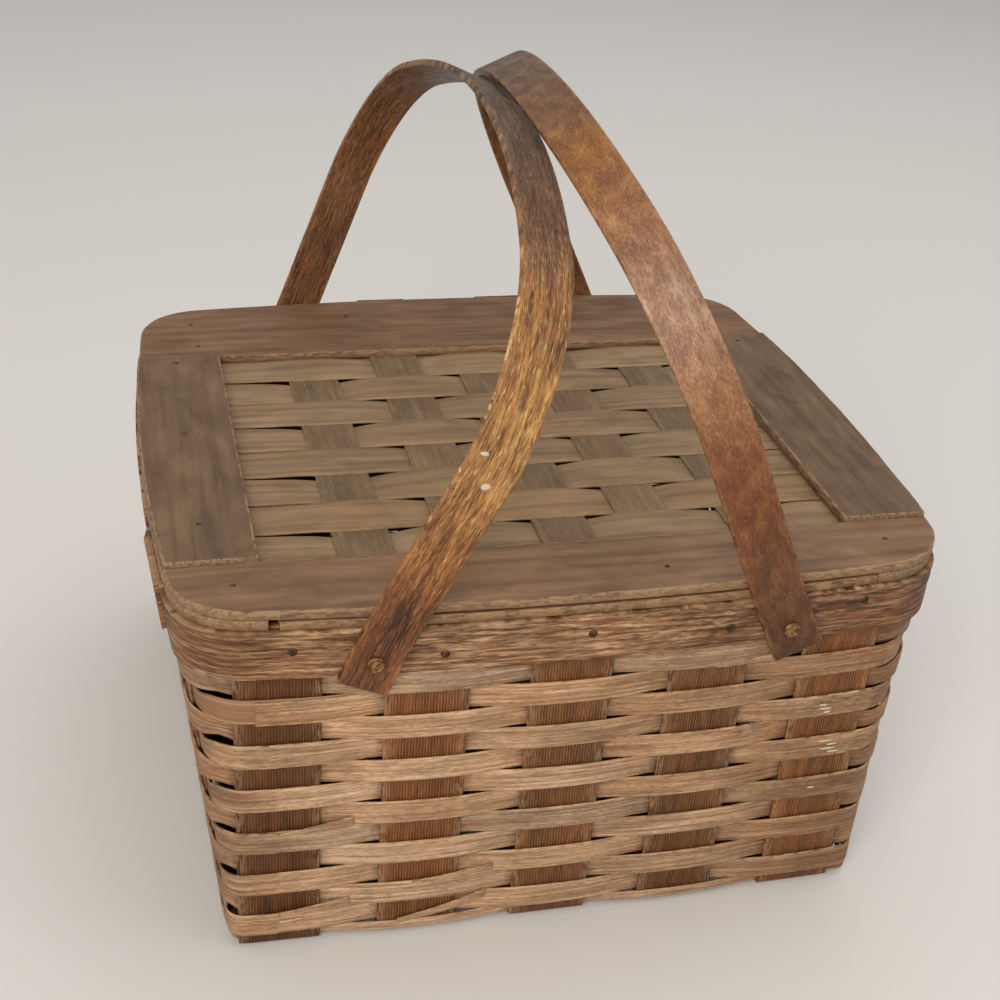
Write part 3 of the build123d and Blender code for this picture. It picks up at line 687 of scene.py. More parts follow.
class BASKET_OT_weavers(bpy.types.Operator):
    """Rings of narrow splints, woven over and under the stakes, with overlapped ends"""

    bl_idname = "basket.weavers"
    bl_label = "Weavers"

    # Split ends that lift off the weavers: row, places, heights, widths and lift in mm, wear
    tongues = (
        (7, (-0.03, 0.52), (68.6, 72.6), (1.0, 5.0), 0.9, 0.1),
        (11, (-0.16, 0.5), (19.6, 23.8), (1.2, 4.6), 0.9, 0.15),
        (11, (0.0, 0.17), (16.0, 16.6), (1.6, 0.7), 1.3, 1.6),
        (11, (0.86, 1.5), (8.2, 19.5), (2.4, 5.5), 1.1, 0.2),
        (10, (0.95, 1.55), (32.8, 36.0), (0.8, 4.2), 0.9, 0.1),
        (1, (3.05, 3.5), (143.2, 145.5), (0.8, 3.5), 0.8, 0.3),
        (8, (10.6, 11.2), (57.5, 60.0), (1.0, 4.0), 0.9, 0.2),
        (5, (15.9, 16.5), (93.5, 96.0), (1.0, 4.0), 0.9, 0.2),
    )
    # Lightness of the weavers at places round the basket: aged wood, and painted shade on the walls and
    # corners turned from the light
    age_and_shade_table = (
        (0, 0.4, 3.0, 4.1, 5.0, 10, 12, 15, 19.3, 20),
        (1.05, 1.22, 0.97, 0.66, 0.72, 0.86, 0.92, 0.84, 0.72, 0.94),
    )
    # The row whose new length starts in view, and how far the gap at each corner opens
    shown_row = 1
    corner_opening = (1.0, 0.0, 0.25, 1.0)
    # The back's weavers lie closer than the others: the middle of that stretch and its half length
    close_middle, close_reach = 11.2, 3.6

    def execute(self, context):
        names = sorted(n for n in frame["nodes"] if n.startswith("weaver_"))
        for row, name in enumerate(names):
            self.weaver(row, name, row == len(names) - 1)
        for number, tongue in enumerate(self.tongues):
            self.tongue(f"weaver_tongue_{number + 1}", *tongue)
        return {"FINISHED"}

    def keep(self, name, bm, node, thickness, edge):
        made = piece(name, bm, "basket", node, "Golden weaver splint")
        thicken(made, thickness, edge)

    def tongue(self, name, row, span, heights, widths, lift, worn):
        places = np.linspace(*span, 40)
        share = np.linspace(0, 1, 40)
        rise = heights[0] + (heights[1] - heights[0]) * share**1.4 + 0.25 * wobble(places, 6, row)
        wide = widths[0] + (widths[1] - widths[0]) * share**0.8 + 0.3 * wobble(places, 9, row + 4)
        z = (rise[:, None] + wide[:, None] * np.linspace(-0.5, 0.5, 5)) * MM
        wall = Wall(heights[0] * MM, heights[1] * MM, settings("splint_sizes").stake_inset)
        up = (z / MM - heights[0]) / (heights[1] - heights[0])
        out = np.maximum(swing_at(places, row)[0], 0.9 * MM) + lift * MM * (1.25 - 0.5 * share)
        points = wall.points(places, up, out[:, None] + 0 * z, z)
        run = wall.run(places % STAKES)
        self.keep(name, sheet_mesh(points, run[:, None], z + 2.2, wear_and_highlight=worn), None, 0.7 * MM, 0.15 * MM)

    def corner_gaps(self, places, row):
        """How far a weaver's top and bottom edges draw back where it turns a corner."""
        top, bottom = np.zeros_like(places), np.zeros_like(places)
        for corner, opening in enumerate(self.corner_opening):
            dice = random.Random(row * 10 + corner)
            middle = corner * STAKES_A_WALL + STAKES_A_WALL - 0.5
            # The stake beside the corner that this row passes behind, before or after the turn
            hidden_after = (middle + 0.5 + row) % 2 == 0
            spot = middle + (0.1 if hidden_after else -0.1)
            gap = np.mod(places - spot + STAKES / 2, STAKES) - STAKES / 2
            bump = np.exp(-((gap / 0.12) ** 2)) * opening
            bottom += dice.uniform(1.5, 4.0) * MM * bump * hidden_after
            top += dice.uniform(1.5, 4.0) * MM * bump * (not hidden_after)
        return top, bottom

    def weaver(self, row, name, last):
        splints = settings("splint_sizes")
        dice = random.Random(name)
        low, high = (corner.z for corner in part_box(name))
        # A new length starts and ends behind a stake, except one that starts in view on the first stake
        shown = row == self.shown_row
        start = 19.86 if shown else dice.choice((6, 8, 10, 12, 14, 16)) + row % 2
        overlap = 1.14 if shown else 2.0
        places = np.linspace(start, start + STAKES + overlap, 660)
        offset, front = swing_at(places, row)
        hidden = 1 - front
        once = places % STAKES
        back = np.clip(self.close_reach - np.abs(once - self.close_middle), 0, 1)
        width = splints.weaver_width + splints.weaver_spread * front**2
        width = width + 0.5 * MM * wobble(places, 0.7, row + 31)
        width += back * (1.0 + 0.8 * hidden) * MM * hidden**0.5
        if last:
            width = np.full_like(width, high - low)
        drift = 0.5 * MM * wobble(once, 0.9, 5) + 0.45 * MM * wobble(once, 0.8, row + 11)
        drift = drift * (0.3 if last else 1 - 0.75 * back)
        begun = np.clip((places - start) / overlap, 0, 1)
        ended = np.clip((start + STAKES + overlap - places) / overlap, 0, 1)
        level = (low + high) / 2 + drift + 0.5 * MM * (begun - ended)
        z = level[:, None] + width[:, None] * ACROSS
        if not last:
            top, bottom = self.corner_gaps(places, row)
            z -= top[:, None] * np.clip(ACROSS + 0.3, 0, 1)
            z += bottom[:, None] * np.clip(0.3 - ACROSS, 0, 1)
        # Where the ends overlap, one lies outside the other
        outside, inside = (begun < 1, ended < 1) if shown else (ended < 1, begun < 1)
        offset = smoothed(offset + 1.05 * MM * (outside * front - inside * hidden), np.ones(9))
        front = front[:, None]
        cup = 0.18 * MM * (1 - (2 * ACROSS) ** 2)
        wall = Wall(low, high, splints.stake_inset)
        points = wall.points(places, (z - low) / (high - low), offset[:, None] + cup * front, z)
        run = wall.run(places)
        seed = dice.random() * 5
        # Painted shade where a stake covers it and painted shadow along its lower edge; pale along both
        # edges, worn and painted highlight, and worn in patches
        shade = 1 - 0.7 * np.clip((0.13 - front) / 0.1, 0, 1) - 0.1 * np.clip(-2 * ACROSS - 0.7, 0, 1)
        scuffs = (wobble(run, 14, row) > 0.25)[:, None]
        wear_and_highlight = 0.6 * np.abs(2 * ACROSS) ** 14 * front + 0.3 * scuffs * front
        # Paler, greyer patches on the crowns: bleached wood and painted sheen; lightness round the basket:
        # aged wood and painted shade
        bleach_and_sheen = (np.clip(1.6 * wobble(run, 11, row + 50), 0, 1)[:, None] * front)[..., None]
        tint = piece_tint(name, 0.08, run, seed) * aged_and_shaded(places, self.age_and_shade_table, (1, 1.3, 1.6))
        tint = tint * np.array([1, 0.97, 0.94]) * (1 + bleach_and_sheen * np.array([0.14, 0.2, 0.3]))
        bm = sheet_mesh(points, run[:, None] + seed, ACROSS * width[:, None] + seed * 3, shade, wear_and_highlight, tint)
        self.keep(f"{name}_splint", bm, name, splints.weaver_thickness, 0.25 * MM)


class BASKET_OT_rim(bpy.types.Operator):
    """Outer rim band with its lap and torn upper half, and the plain inner band"""

    bl_idname = "basket.rim"
    bl_label = "Rim bands"

    # Lightness of the outer band, aged wood and painted shade where it turns from the light, and how torn
    # it is, at places round the basket
    age_and_shade_table = (
        (0, 1.0, 2.4, 3.4, 4.4, 6, 10, 14, 18, 19, 19.7, 20),
        (0.9, 1.1, 1.06, 0.76, 0.57, 0.78, 0.88, 0.88, 0.8, 0.7, 0.76, 0.9),
    )
    tearing = ((0, 0.6, 3.6, 4.6, 18, 20), (0.3, 1, 1, 0.5, 0.5, 0.3))
    # Place where the outer band's lap starts, its length, and how far the upper end stands out
    lap, lap_length, lap_rise = 18.27, 0.7, 2.1 * MM
    # Place where the inner band's ends meet, and how far they lap
    join, join_length = 13.4, 0.02
    # Thickness of each band, and how far its outside lies inside the solid one's
    outer_band, inner_band = (3.3 * MM, 0.2 * MM), (2.8 * MM, 0.1 * MM)

    def execute(self, context):
        places = np.linspace(self.lap, self.lap + STAKES + self.lap_length, 1300)
        thickness, play = self.outer_band
        self.band("rim_outer_band", play, thickness, places, 25, self.weathered)
        places = np.linspace(self.join, self.join + STAKES + self.join_length, 300)
        thickness, play = self.inner_band
        inset = RIM_HIGH.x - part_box("rim_inner_band")[1].x + play
        self.band("rim_inner_band", inset, thickness, places, 7, None)
        return {"FINISHED"}

    def weathered(self, places, run, across, z):
        """The outer band's moves outward and up, its painted shade in the splits, its wear, and its tint
        of age and painted shade.
        """
        lapped = np.clip((self.lap_length + 0.12 - (places[-1] - places)) / 0.12, 0, 1)
        run_2d = run[:, None]
        splits = wobble_on(run_2d, z, (55, 420), 3) + 0.7 * wobble_on(run_2d, z, (230, 900), 4)
        # The tear starts about a third of the way up, and its lower edge and strength wander
        torn = np.clip((across - 0.32 - 0.2 * wobble(run, 22, 5)[:, None]) / 0.16, 0, 1)
        torn = np.clip(torn * (0.65 + 0.5 * wobble(run, 17, 8))[:, None], 0, 1)
        torn = torn * np.interp(places % STAKES, *self.tearing)[:, None]
        out = (self.lap_rise * lapped)[:, None] + torn * (0.7 * MM * splits - 0.4 * MM)
        ragged = -0.45 * MM * (across > 0.95) * (1 + wobble(run, 90, 9))[:, None]
        ragged = ragged + 0.4 * MM * (across < 0.03) * (1 + wobble(run, 60, 19))[:, None]
        # Painted shade in the splits that sink into the torn half
        shade = 1 - 0.55 * torn * np.clip(-splits * 1.8, 0, 1)
        wear_and_highlight = 0.6 * torn * np.clip(splits * 1.5, 0, 1) ** 2 + 0.35 * (across > 0.96)
        return out, ragged, shade, wear_and_highlight, aged_and_shaded(places, self.age_and_shade_table, (1, 1.4, 1.75))

    def band(self, name, inset, thickness, places, strands, finish):
        low, high = (corner.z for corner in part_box(name))
        across = np.linspace(0, 1, strands)[None, :]
        wall = Wall(low, high, inset + thickness / 2)
        run = wall.run(places)
        z = low + (high - low) * across + 0 * places[:, None]
        out, ragged, shade, wear_and_highlight, age_and_shade = 0 * z, 0, 1, 0, 1
        if finish:
            out, ragged, shade, wear_and_highlight, age_and_shade = finish(places, run, across, z)
        z = z + ragged
        # Lightness round the basket: aged wood and painted shade
        tint = piece_tint(name, 0.02, run, 6.1, 0.14) * age_and_shade
        bm = sheet_mesh(wall.points(places, across, out, z), run[:, None], z + 1.3, shade, wear_and_highlight, tint)
        made = piece(f"{name}_wood", bm, "basket", name, "Bent rim band")
        thicken(made, thickness, 0.4 * MM, 2)


# Lid


def lid_outline(uneven=0.0, seed=0):
    """Closed plan of the lid, its edge worn unevenly inward."""
    plan = settings("basket_plan")
    setback = 1 * MM
    half_x, half_y = (RIM_HIGH.x - RIM_LOW.x) / 2 - setback, (RIM_HIGH.y - RIM_LOW.y) / 2 - setback
    ring = mirrored(quadrant((half_x, half_y, plan.rim_bow, plan.rim_corner), 0.0, 24))[:-1]
    x, y = ring.T
    worn = wobble_on(x, y, (28, 28), seed) + 0.6 * wobble_on(x, y, (95, 95), seed)
    return ring * (1 - uneven * (0.5 + 0.5 * worn)[:, None] / half_x)


class BASKET_OT_lid_slats(bpy.types.Operator):
    """Boards that frame the lid, above and below the weave"""

    bl_idname = "basket.lid_slats"
    bl_label = "Lid boards"

    tints = {
        "lid_upper_front_slat": (1.28, 1.24, 1.24),
        "lid_upper_left_slat": (0.96, 0.96, 0.98),
        "lid_upper_right_slat": (0.9, 0.9, 0.92),
        "lid_upper_back_slat": (1.16, 1.06, 1.02),
        "lid_lower_front_slat": (1.3, 1.16, 1.04),
        "lid_lower_left_slat": (1.3, 1.16, 1.04),
    }
    # Cut fibres show as dots: along the grain, a step up the board's end counts for this much
    end_grain = 9

    def execute(self, context):
        for name in sorted(n for n in frame["nodes"] if n.endswith("_slat")):
            self.board(name)
        return {"FINISHED"}

    def cut_plan(self, low, high, seed):
        """The lid's whole plan as a slab between two heights, cut down to a board's box."""
        bm = bmesh.new()
        face = bm.faces.new([bm.verts.new((x, y, low.z)) for x, y in lid_outline(1.1 * MM, seed)])
        face.normal_update()
        if face.normal.z > 0:
            face.normal_flip()
        raised = bmesh.ops.extrude_face_region(bm, geom=[face])
        tops = [g for g in raised["geom"] if isinstance(g, bmesh.types.BMVert)]
        bmesh.ops.translate(bm, vec=(0, 0, high.z - low.z), verts=tops)
        reach = lid_outline().max(0)
        for axis in (0, 1):
            for edge, sign in ((low[axis], -1), (high[axis], 1)):
                # Where the board reaches the lid's own edge, the outline stays uncut
                if abs(edge) > reach[axis] - 0.2 * MM:
                    continue
                place, outward = Vector((0, 0, 0)), Vector((0, 0, 0))
                place[axis], outward[axis] = edge, sign
                whole = bm.verts[:] + bm.edges[:] + bm.faces[:]
                cut = bmesh.ops.bisect_plane(
                    bm, geom=whole, plane_co=place, plane_no=outward, clear_outer=True
                )
                rim = [g for g in cut["geom_cut"] if isinstance(g, bmesh.types.BMEdge)]
                bmesh.ops.contextual_create(bm, geom=rim)
        bmesh.ops.remove_doubles(bm, verts=bm.verts[:], dist=1e-6)
        bmesh.ops.recalc_face_normals(bm, faces=bm.faces[:])
        return bm

    def board(self, name):
        low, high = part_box(name)
        seed = random.Random(name).random() * 5
        bm = self.cut_plan(low, high, seed)
        sharp = [e for e in bm.edges if len(e.link_faces) == 2 and e.calc_face_angle(0) > math.radians(35)]
        bmesh.ops.bevel(
            bm, geom=sharp, offset=0.7 * MM, segments=2, profile=0.5, affect="EDGES", material=-1,
            offset_type="OFFSET", clamp_overlap=True,
        )
        flat = [f for f in bm.faces if abs(f.normal.z) > 0.99]
        bmesh.ops.inset_region(bm, faces=flat, thickness=0.6 * MM, use_even_offset=True)
        inner = {v for f in flat for v in f.verts}
        bm.verts.index_update()
        wear_and_highlight = [0.0 if v in inner else 0.55 if v.co.z > high.z - 1.0 * MM else 0.15 for v in bm.verts]
        count = len(bm.verts)
        paint(bm, [0.97] * count, wear_and_highlight, [self.tints.get(name, (1.0, 1.0, 1.0))] * count)
        layer = bm.loops.layers.uv.new("UVMap")
        crosswise = "left" in name or "right" in name
        for face in bm.faces:
            level = abs(face.normal.z) > 0.5
            cut = 0 if level else abs(face.normal.y if crosswise else face.normal.x)
            side = 0 if level else 1 - cut
            for loop in face.loops:
                x, y, z = loop.vert.co
                along, across = (y, x) if crosswise else (x, y)
                loop[layer].uv = (along + seed + self.end_grain * cut * z, across + seed + side * z)
        piece(f"{name}_board", bm, "lid", name, "Weathered lid board")


class BASKET_OT_lid_splints(bpy.types.Operator):
    """The lid's field of wide splints, woven left to right and front to back"""

    bl_idname = "basket.lid_splints"
    bl_label = "Lid splints"

    # Half the length of a crossing, for left-right and front-back splints
    reach = {True: 9 * MM, False: 7.5 * MM}
    # Where the boards take over from the weave, past the first and last crossing
    tail = 22 * MM
    # A slit is deepest for this far either side of a crossing, and fades out over a tail after it
    slit_middle, slit_end = 11 * MM, 17 * MM
    # Its tail before a crossing and its depth: the first, by the left board, is longest and widest
    first_slit, other_slits = (42 * MM, 3.6 * MM), (15 * MM, 2.3 * MM)

    def execute(self, context):
        rows, columns = (
            [(n, *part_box(n)) for n in sorted(frame["nodes"]) if n.startswith(start)]
            for start in ("lid_splint_", "lid_cross_splint_")
        )
        row_places = [(low.y + high.y) / 2 for _, low, high in rows]
        column_places = [(low.x + high.x) / 2 for _, low, high in columns]
        half = settings("splint_sizes").lid_splint_thickness / 2
        levels = rows[0][2].z - half, rows[0][1].z + half
        for row, (name, low, high) in enumerate(rows):
            crossings = [(x, (row + column) % 2 == 0) for column, x in enumerate(column_places)]
            self.splint(name, row_places[row], (low.x, high.x), crossings, True, *levels)
        for column, (name, low, high) in enumerate(columns):
            crossings = sorted((y, (row + column) % 2 == 1) for row, y in enumerate(row_places))
            self.splint(name, column_places[column], (low.y, high.y), crossings, False, *levels)
        return {"FINISHED"}

    def pinched(self, along, crossings):
        """Where a left-right splint dives under, its back edge draws in and leaves a dark slit."""
        pinch = np.zeros_like(along)
        for number, (place, above) in enumerate(crossings):
            if not above:
                before, depth = self.other_slits if number else self.first_slit
                gap = along - place
                fade = (abs(gap) - self.slit_middle) / np.where(gap < 0, before, self.slit_end)
                pinch = np.maximum(pinch, depth * np.clip(1 - fade, 0, 1) ** 1.3)
        return pinch

    def splint(self, name, centre, ends, crossings, lengthwise, over, under):
        splints = settings("splint_sizes")
        width = splints.lid_splint_width if lengthwise else splints.cross_splint_width
        along = np.linspace(*ends, 300)
        edge = over if lengthwise else under
        reach = self.reach[lengthwise]
        knots, levels = [ends[0], crossings[0][0] - self.tail], [edge, edge]
        for place, above in crossings:
            knots += [place - reach, place + reach]
            levels += [over + 0.15 * MM if above else under - 0.1 * MM] * 2
        knots += [crossings[-1][0] + self.tail, ends[1]]
        levels += [edge, edge]
        z = smoothed(np.interp(along, knots, levels), np.hanning(17)[1:-1])
        seed = random.Random(name).random() * 5
        sway = 0.3 * MM * wobble(along, 14, seed)
        spread = width + 0.4 * MM * wobble(along, 25, seed + 2)
        if lengthwise:
            for place, above in crossings:
                if above:
                    spread += 2.6 * MM * np.exp(-(((along - place) / (15 * MM)) ** 4))
        side = centre + sway[:, None] + ACROSS * spread[:, None]
        if lengthwise:
            side -= self.pinched(along, crossings)[:, None] * np.clip(ACROSS + 0.5, 0, 1)
        height = z[:, None] + 0.08 * MM * (1 - (2 * ACROSS) ** 2)
        line = along[:, None] + 0 * side
        points = np.stack([line, side, height] if lengthwise else [side, line, height], -1)
        if not lengthwise:
            points = points[:, ::-1]
        level = (z[:, None] - under) / (over - under)
        # Painted shade where it passes under the crossing splints
        shade = 0.8 + 0.2 * np.clip(3 * level, 0, 1)
        wear_and_highlight = 0.2 * np.abs(2 * ACROSS) ** 14 * np.clip(level, 0, 1)
        tint = piece_tint(name, 0.06, along, seed, 0.07)
        # The first front-back splint is darker than the others
        if not lengthwise and not name.endswith("_1"):
            tint = tint * 1.07
        bm = sheet_mesh(points, line + seed, ACROSS * width + seed * 3, shade, wear_and_highlight, tint)
        material = "Pale lid splint" if lengthwise else "Dark cross splint"
        made = piece(f"{name}_strip", bm, "lid", name, material)
        thicken(made, splints.lid_splint_thickness, 0.15 * MM)


# Handles


class BASKET_OT_handles(bpy.types.Operator):
    """Two bent bands, riveted to the rim by their ends"""

    bl_idname = "basket.handles"
    bl_label = "Handles"

    # Side and finish; lean in degrees; half span, shoulder radius and reach in mm from the pivot
    shapes = {
        "left_handle": (-1, "Varnished handle", 23.0, 186.0, 80.0, 208.0),
        "right_handle": (1, "Crusted handle", 24.3, 181.0, 90.0, 216.5),
    }
    # In mm: the band past the pivot, its straight part above it, the height where the shoulder
    # springs, and the middle of the band's distance from the middle of the basket at the pivot
    foot, straight, spring, stance = 14.0, 12.0, 108.0, 170.45
    # Colour along each band, in mm from its front foot; darker over the tops, partly painted shade
    tones = {
        "left_handle": (
            (0, "#7e4626"), (30, "#96552b"), (70, "#a66734"), (130, "#bc834a"), (185, "#ac733f"),
            (235, "#77492a"), (290, "#6b4a2e"), (345, "#64462c"), (400, "#553c26"), (450, "#704a2c"),
            (560, "#80502c"), (760, "#7c4825"),
        ),
        "right_handle": (
            (0, "#5f381e"), (35, "#6e401f"), (70, "#7c4620"), (115, "#804a27"), (150, "#9c6c48"),
            (190, "#a97f62"), (225, "#96633e"), (275, "#925a22"), (320, "#7c512e"), (370, "#725034"),
            (450, "#62432c"), (560, "#704624"), (760, "#7c4825"),
        ),
    }

    def execute(self, context):
        for name, shape in self.shapes.items():
            self.handle(name, *shape)
        return {"FINISHED"}

    def middle_line(self, half_span, shoulder, reach):
        """Middle line of a hoop in its own plane, evenly spaced from foot to foot, in mm."""
        inward, rise = half_span - shoulder, reach - self.spring
        crown = (inward**2 + rise**2 - shoulder**2) / (2 * (rise - shoulder))
        centre = reach - crown
        turn = math.atan2(self.spring - centre, inward)
        half = [(self.stance, -self.foot), (self.stance, self.straight), (half_span, self.spring)]
        for x, y, radius, start, end, steps in (
            (inward, self.spring, shoulder, 0, turn, 30), (0, centre, crown, turn, math.pi / 2, 40),
        ):
            angles = np.linspace(start, end, steps)[1:]
            half += [(x + radius * math.cos(a), y + radius * math.sin(a)) for a in angles]
        half = np.array(half)
        line = np.vstack([half, (half * [-1, 1])[::-1][1:]])
        run = run_along(line)
        even = np.linspace(0, run[-1], 321)
        smooth = np.stack([np.interp(even, run, line[:, k]) for k in (0, 1)], -1)
        for _ in range(3):
            smooth[1:-1] = (smooth[:-2] + 2 * smooth[1:-1] + smooth[2:]) / 4
        return smooth, even

    def handle(self, name, side, material, lean, *hoop):
        sizes = settings("handle_sizes")
        line, run = (values * MM for values in self.middle_line(*hoop))
        pivot = joint_place(f"{name}_swing")
        tilt = math.radians(lean)
        up = np.array([-side * math.sin(tilt), 0, math.cos(tilt)])
        wide = np.array([math.cos(tilt), 0, side * math.sin(tilt)])
        across = np.linspace(-0.5, 0.5, 13)[None, :]
        seed = 3.0 + side
        width = sizes.band_width * (0.985 + 0.012 * wobble(run, 12, seed))
        offset = across * width[:, None]
        spot = np.array(pivot) + line[:, :1] * np.array([0, 1, 0]) + line[:, 1:] * up
        points = spot[:, None] + offset[..., None] * wide
        run_2d = run[:, None]
        front = (run[-1] - run) / MM
        ends = np.minimum(run, run[-1] - run)[:, None] / MM
        # Soil darkens both feet in blotches
        blotch = 0.5 + 0.9 * wobble_on(run_2d, offset, (30, 90), seed + 5)
        soil_and_shade = np.clip(0.14 + 0.68 * np.clip(1 - ends / 110, 0, 1), 0, 1)
        shade = 1 - soil_and_shade * np.clip(blotch, 0, 1)
        if side < 0:
            # Old grease has blackened a streak above the front rivet
            foot = np.exp(-(((front - 34) / 32) ** 2))[:, None]
            streak = across - 0.2 + 0.004 * front[:, None]
            shade = shade - 0.75 * foot * np.exp(-((streak / 0.15) ** 2)) - 0.12 * foot
        marks, codes = zip(*self.tones[name])
        base = np.array(linear(settings("basket_colours").handle)[:3])
        tone = np.array([linear(code)[:3] for code in codes]) / base
        tint = np.stack([np.interp(front, marks, tone[:, k]) for k in range(3)], -1)[:, None]
        mottle = 1 + 0.16 * wobble_on(run_2d, offset, (45, 110), seed)
        # Pale along both edges: worn varnish and painted highlight
        wear_and_highlight = 0.3 * np.abs(2 * across) ** 30
        bm = sheet_mesh(points, run_2d, offset + seed, shade, wear_and_highlight, tint * mottle[..., None])
        made = piece(f"{name}_band", bm, name, name, material)
        thicken(made, sizes.band_thickness, sizes.edge_round, 3)


# Paint spots


class BASKET_OT_specks(bpy.types.Operator):
    """Spots of dried white paint on the weavers and a handle"""

    bl_idname = "basket.specks"
    bl_label = "Paint specks"

    # Weaver row, place round the basket, height and length in mm
    on_weavers = (
        (3, 3.95, 113.4, 5.0), (3, 3.97, 111.0, 7.0), (3, 3.99, 108.8, 4.0), (5, 4.02, 91.0, 8.0),
        (5, 4.08, 88.6, 6.0), (5, 4.05, 86.2, 9.0), (5, 4.1, 84.0, 6.0), (7, 3.98, 62.8, 4.0),
    )
    # Middle in mm on the outside of the left handle, and length in mm
    on_handle = ((-56.5, -187.52, 271.1, 4.2), (-54.7, -186.25, 256.1, 4.0))
    handle_outward = (-0.06, -0.99, -0.15)
    # Heights in mm of a spot on a weaver and on the handle, and their thickness from the middle
    weaver_tall, handle_tall, raised = 1.0, 3.2, 0.18 * MM

    def execute(self, context):
        sizes = settings("splint_sizes")
        bm = bmesh.new()
        for row, place, height, long in self.on_weavers:
            point, normal, _ = Outline(height * MM, sizes.stake_inset).at(np.array([place]))
            out = swing_at(place, row)[0] + sizes.weaver_thickness / 2 + 0.1 * MM
            x, y = point[0] + normal[0] * out
            self.speck(bm, (x, y, height * MM), (*normal[0], -0.04), long, self.weaver_tall)
        closed_piece("weaver_paint_specks", bm, "basket", None, "Dried white paint")
        bm = bmesh.new()
        for x, y, z, long in self.on_handle:
            self.speck(bm, (x * MM, y * MM, z * MM), self.handle_outward, long, self.handle_tall)
        closed_piece("handle_paint_specks", bm, "left_handle", None, "Dried white paint")
        return {"FINISHED"}

    def speck(self, bm, place, outward, long, tall):
        """A flat spot, long and tall in mm, that lies on a surface."""
        outward = Vector(outward).normalized()
        along = Vector((0, 0, 1)).cross(outward).normalized()
        turn = Matrix((along, outward.cross(along), outward)).transposed().to_4x4()
        flat = Matrix.Diagonal((long / 2 * MM, tall / 2 * MM, self.raised, 1))
        to_place = Matrix.Translation(place) @ turn @ flat
        bmesh.ops.create_icosphere(bm, subdivisions=2, radius=1.0, matrix=to_place)


# Metal


class BASKET_OT_rivets(bpy.types.Operator):
    """Domed rivets that the handles turn on, and the washers behind them"""

    bl_idname = "basket.rivets"
    bl_label = "Rivets"

    # Radius and height in mm of the outer head, from its dished middle to its edge
    head = (
        (0, 1.0), (2.0, 0.95), (2.7, 0.9), (3.0, 1.25), (3.3, 1.35), (3.65, 1.15), (3.88, 0.7), (3.9, 0),
    )
    # In mm: how far its seat lies inside the solid rivets' ends, the shank's radius, where the shank
    # ends inside the rim, and the inner head's radius and height
    seated, shank, back = 1.5, 2.4, 158.6
    inner_head = ((3.9, 0), (3.12, -1.1), (0.0, -1.3))
    # In mm: the washer's inner and outer radius and thickness
    washer = (2.5, 5.4, 1.4)

    def execute(self, context):
        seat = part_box("handle_rivets")[1].y / MM - self.seated
        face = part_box("handle_washers")[1].y / MM
        hole, wide, thick = self.washer
        rivet = [(r, seat + h) for r, h in self.head] + [(self.shank, seat), (self.shank, self.back)]
        rivet += [(r, self.back + h) for r, h in self.inner_head]
        back = face - thick
        ring = [(hole, back), (wide, back), (wide, face), (hole, face), (hole, back)]
        for name, profile in (("handle_rivets_domed", rivet), ("handle_washers_flat", ring)):
            bm = bmesh.new()
            profile = [(radius * MM, height * MM) for radius, height in profile]
            for joint in ("left_handle_swing", "right_handle_swing"):
                pivot = joint_place(joint)
                for end in (-1, 1):
                    lathe(bm, profile, (pivot.x, 0, pivot.z), (0, end, 0), 24)
            closed_piece(name, bm, "basket", name.rsplit("_", 1)[0], "Rusted steel rivet")
        return {"FINISHED"}


class BASKET_OT_nails(bpy.types.Operator):
    """Small nails of the rim and the lid"""

    bl_idname = "basket.nails"
    bl_label = "Nails"

    # Height in mm of the row of rim nails, each nail's own rise, and its step along from its stake
    height, rises, step = 169.0, (1.0, -4.0, 1.0, -3.0, 4.0), 6
    # How far the rim's front and back, and its sides, lean under
    lean = (-0.036, -0.13)
    # Head radius and rise, shank radius and length, and how deep the head sits, in mm
    rim_nail = (2.1, 0.8, 0.9, 10, 0.35)
    lid_nail = (1.9, 0.35, 0.8, 8, 0.25)
    lid_spots = (
        (-161.0, 84.0), (-148.0, 110.0), (-161.0, -90.0), (-162.0, 0.0),
        (161.0, 84.0), (148.0, 110.0), (161.0, -90.0), (162.0, 0.0),
        (-150.0, -140.0), (-62.0, -150.0), (40.0, -150.0), (150.0, -140.0),
        (-150.0, 140.0), (-60.0, 145.0), (60.0, 145.0), (150.0, 140.0),
    )

    def nail(self, bm, place, outward, head, rise, shank, long, sunk):
        """A nail with a low domed head, its sizes in mm."""
        dome = [(head * math.sin(a), rise * math.cos(a)) for a in np.linspace(0, 1.45, 5)]
        profile = dome + [(head, 0.0), (shank, 0.0), (shank, -long), (0.0, -long)]
        outward = Vector(outward).normalized()
        lathe(bm, [(r * MM, h * MM) for r, h in profile], Vector(place) - outward * sunk * MM, outward, 16)

    def execute(self, context):
        bm = bmesh.new()
        for k, (wall, centre) in enumerate(stake_places()):
            z = (self.height + self.rises[k % STAKES_A_WALL]) * MM
            outline = Outline(z, 0.0)
            (x, y), normal = outline.at_run(outline.run_at(wall, centre + FORWARD[wall] * self.step * MM))
            self.nail(bm, (x, y, z), (*normal, self.lean[wall % 2]), *self.rim_nail)
        closed_piece("rim_nails_domed", bm, "basket", "rim_nails", "Rusted nail")
        bm = bmesh.new()
        low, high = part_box("lid_upper_left_slat")
        lid_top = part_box("lid_upper_front_slat")[1].z
        for x, y in self.lid_spots:
            top = high.z if low.y < y * MM < high.y else lid_top
            self.nail(bm, (x * MM, y * MM, top), (0, 0, 1), *self.lid_nail)
        closed_piece("lid_nails_flat", bm, "lid", "lid_nails", "Rusted nail")
        return {"FINISHED"}


class BASKET_OT_hinges(bpy.types.Operator):
    """Finish the small hinges on the back"""

    bl_idname = "basket.hinges"
    bl_label = "Hinges"

    def execute(self, context):
        for name in (n for n in frame["nodes"] if n.startswith("hinge_")):
            for slot in frame["nodes"][name].material_slots:
                slot.material = bpy.data.materials["Aged brass"]
        return {"FINISHED"}


# Stage


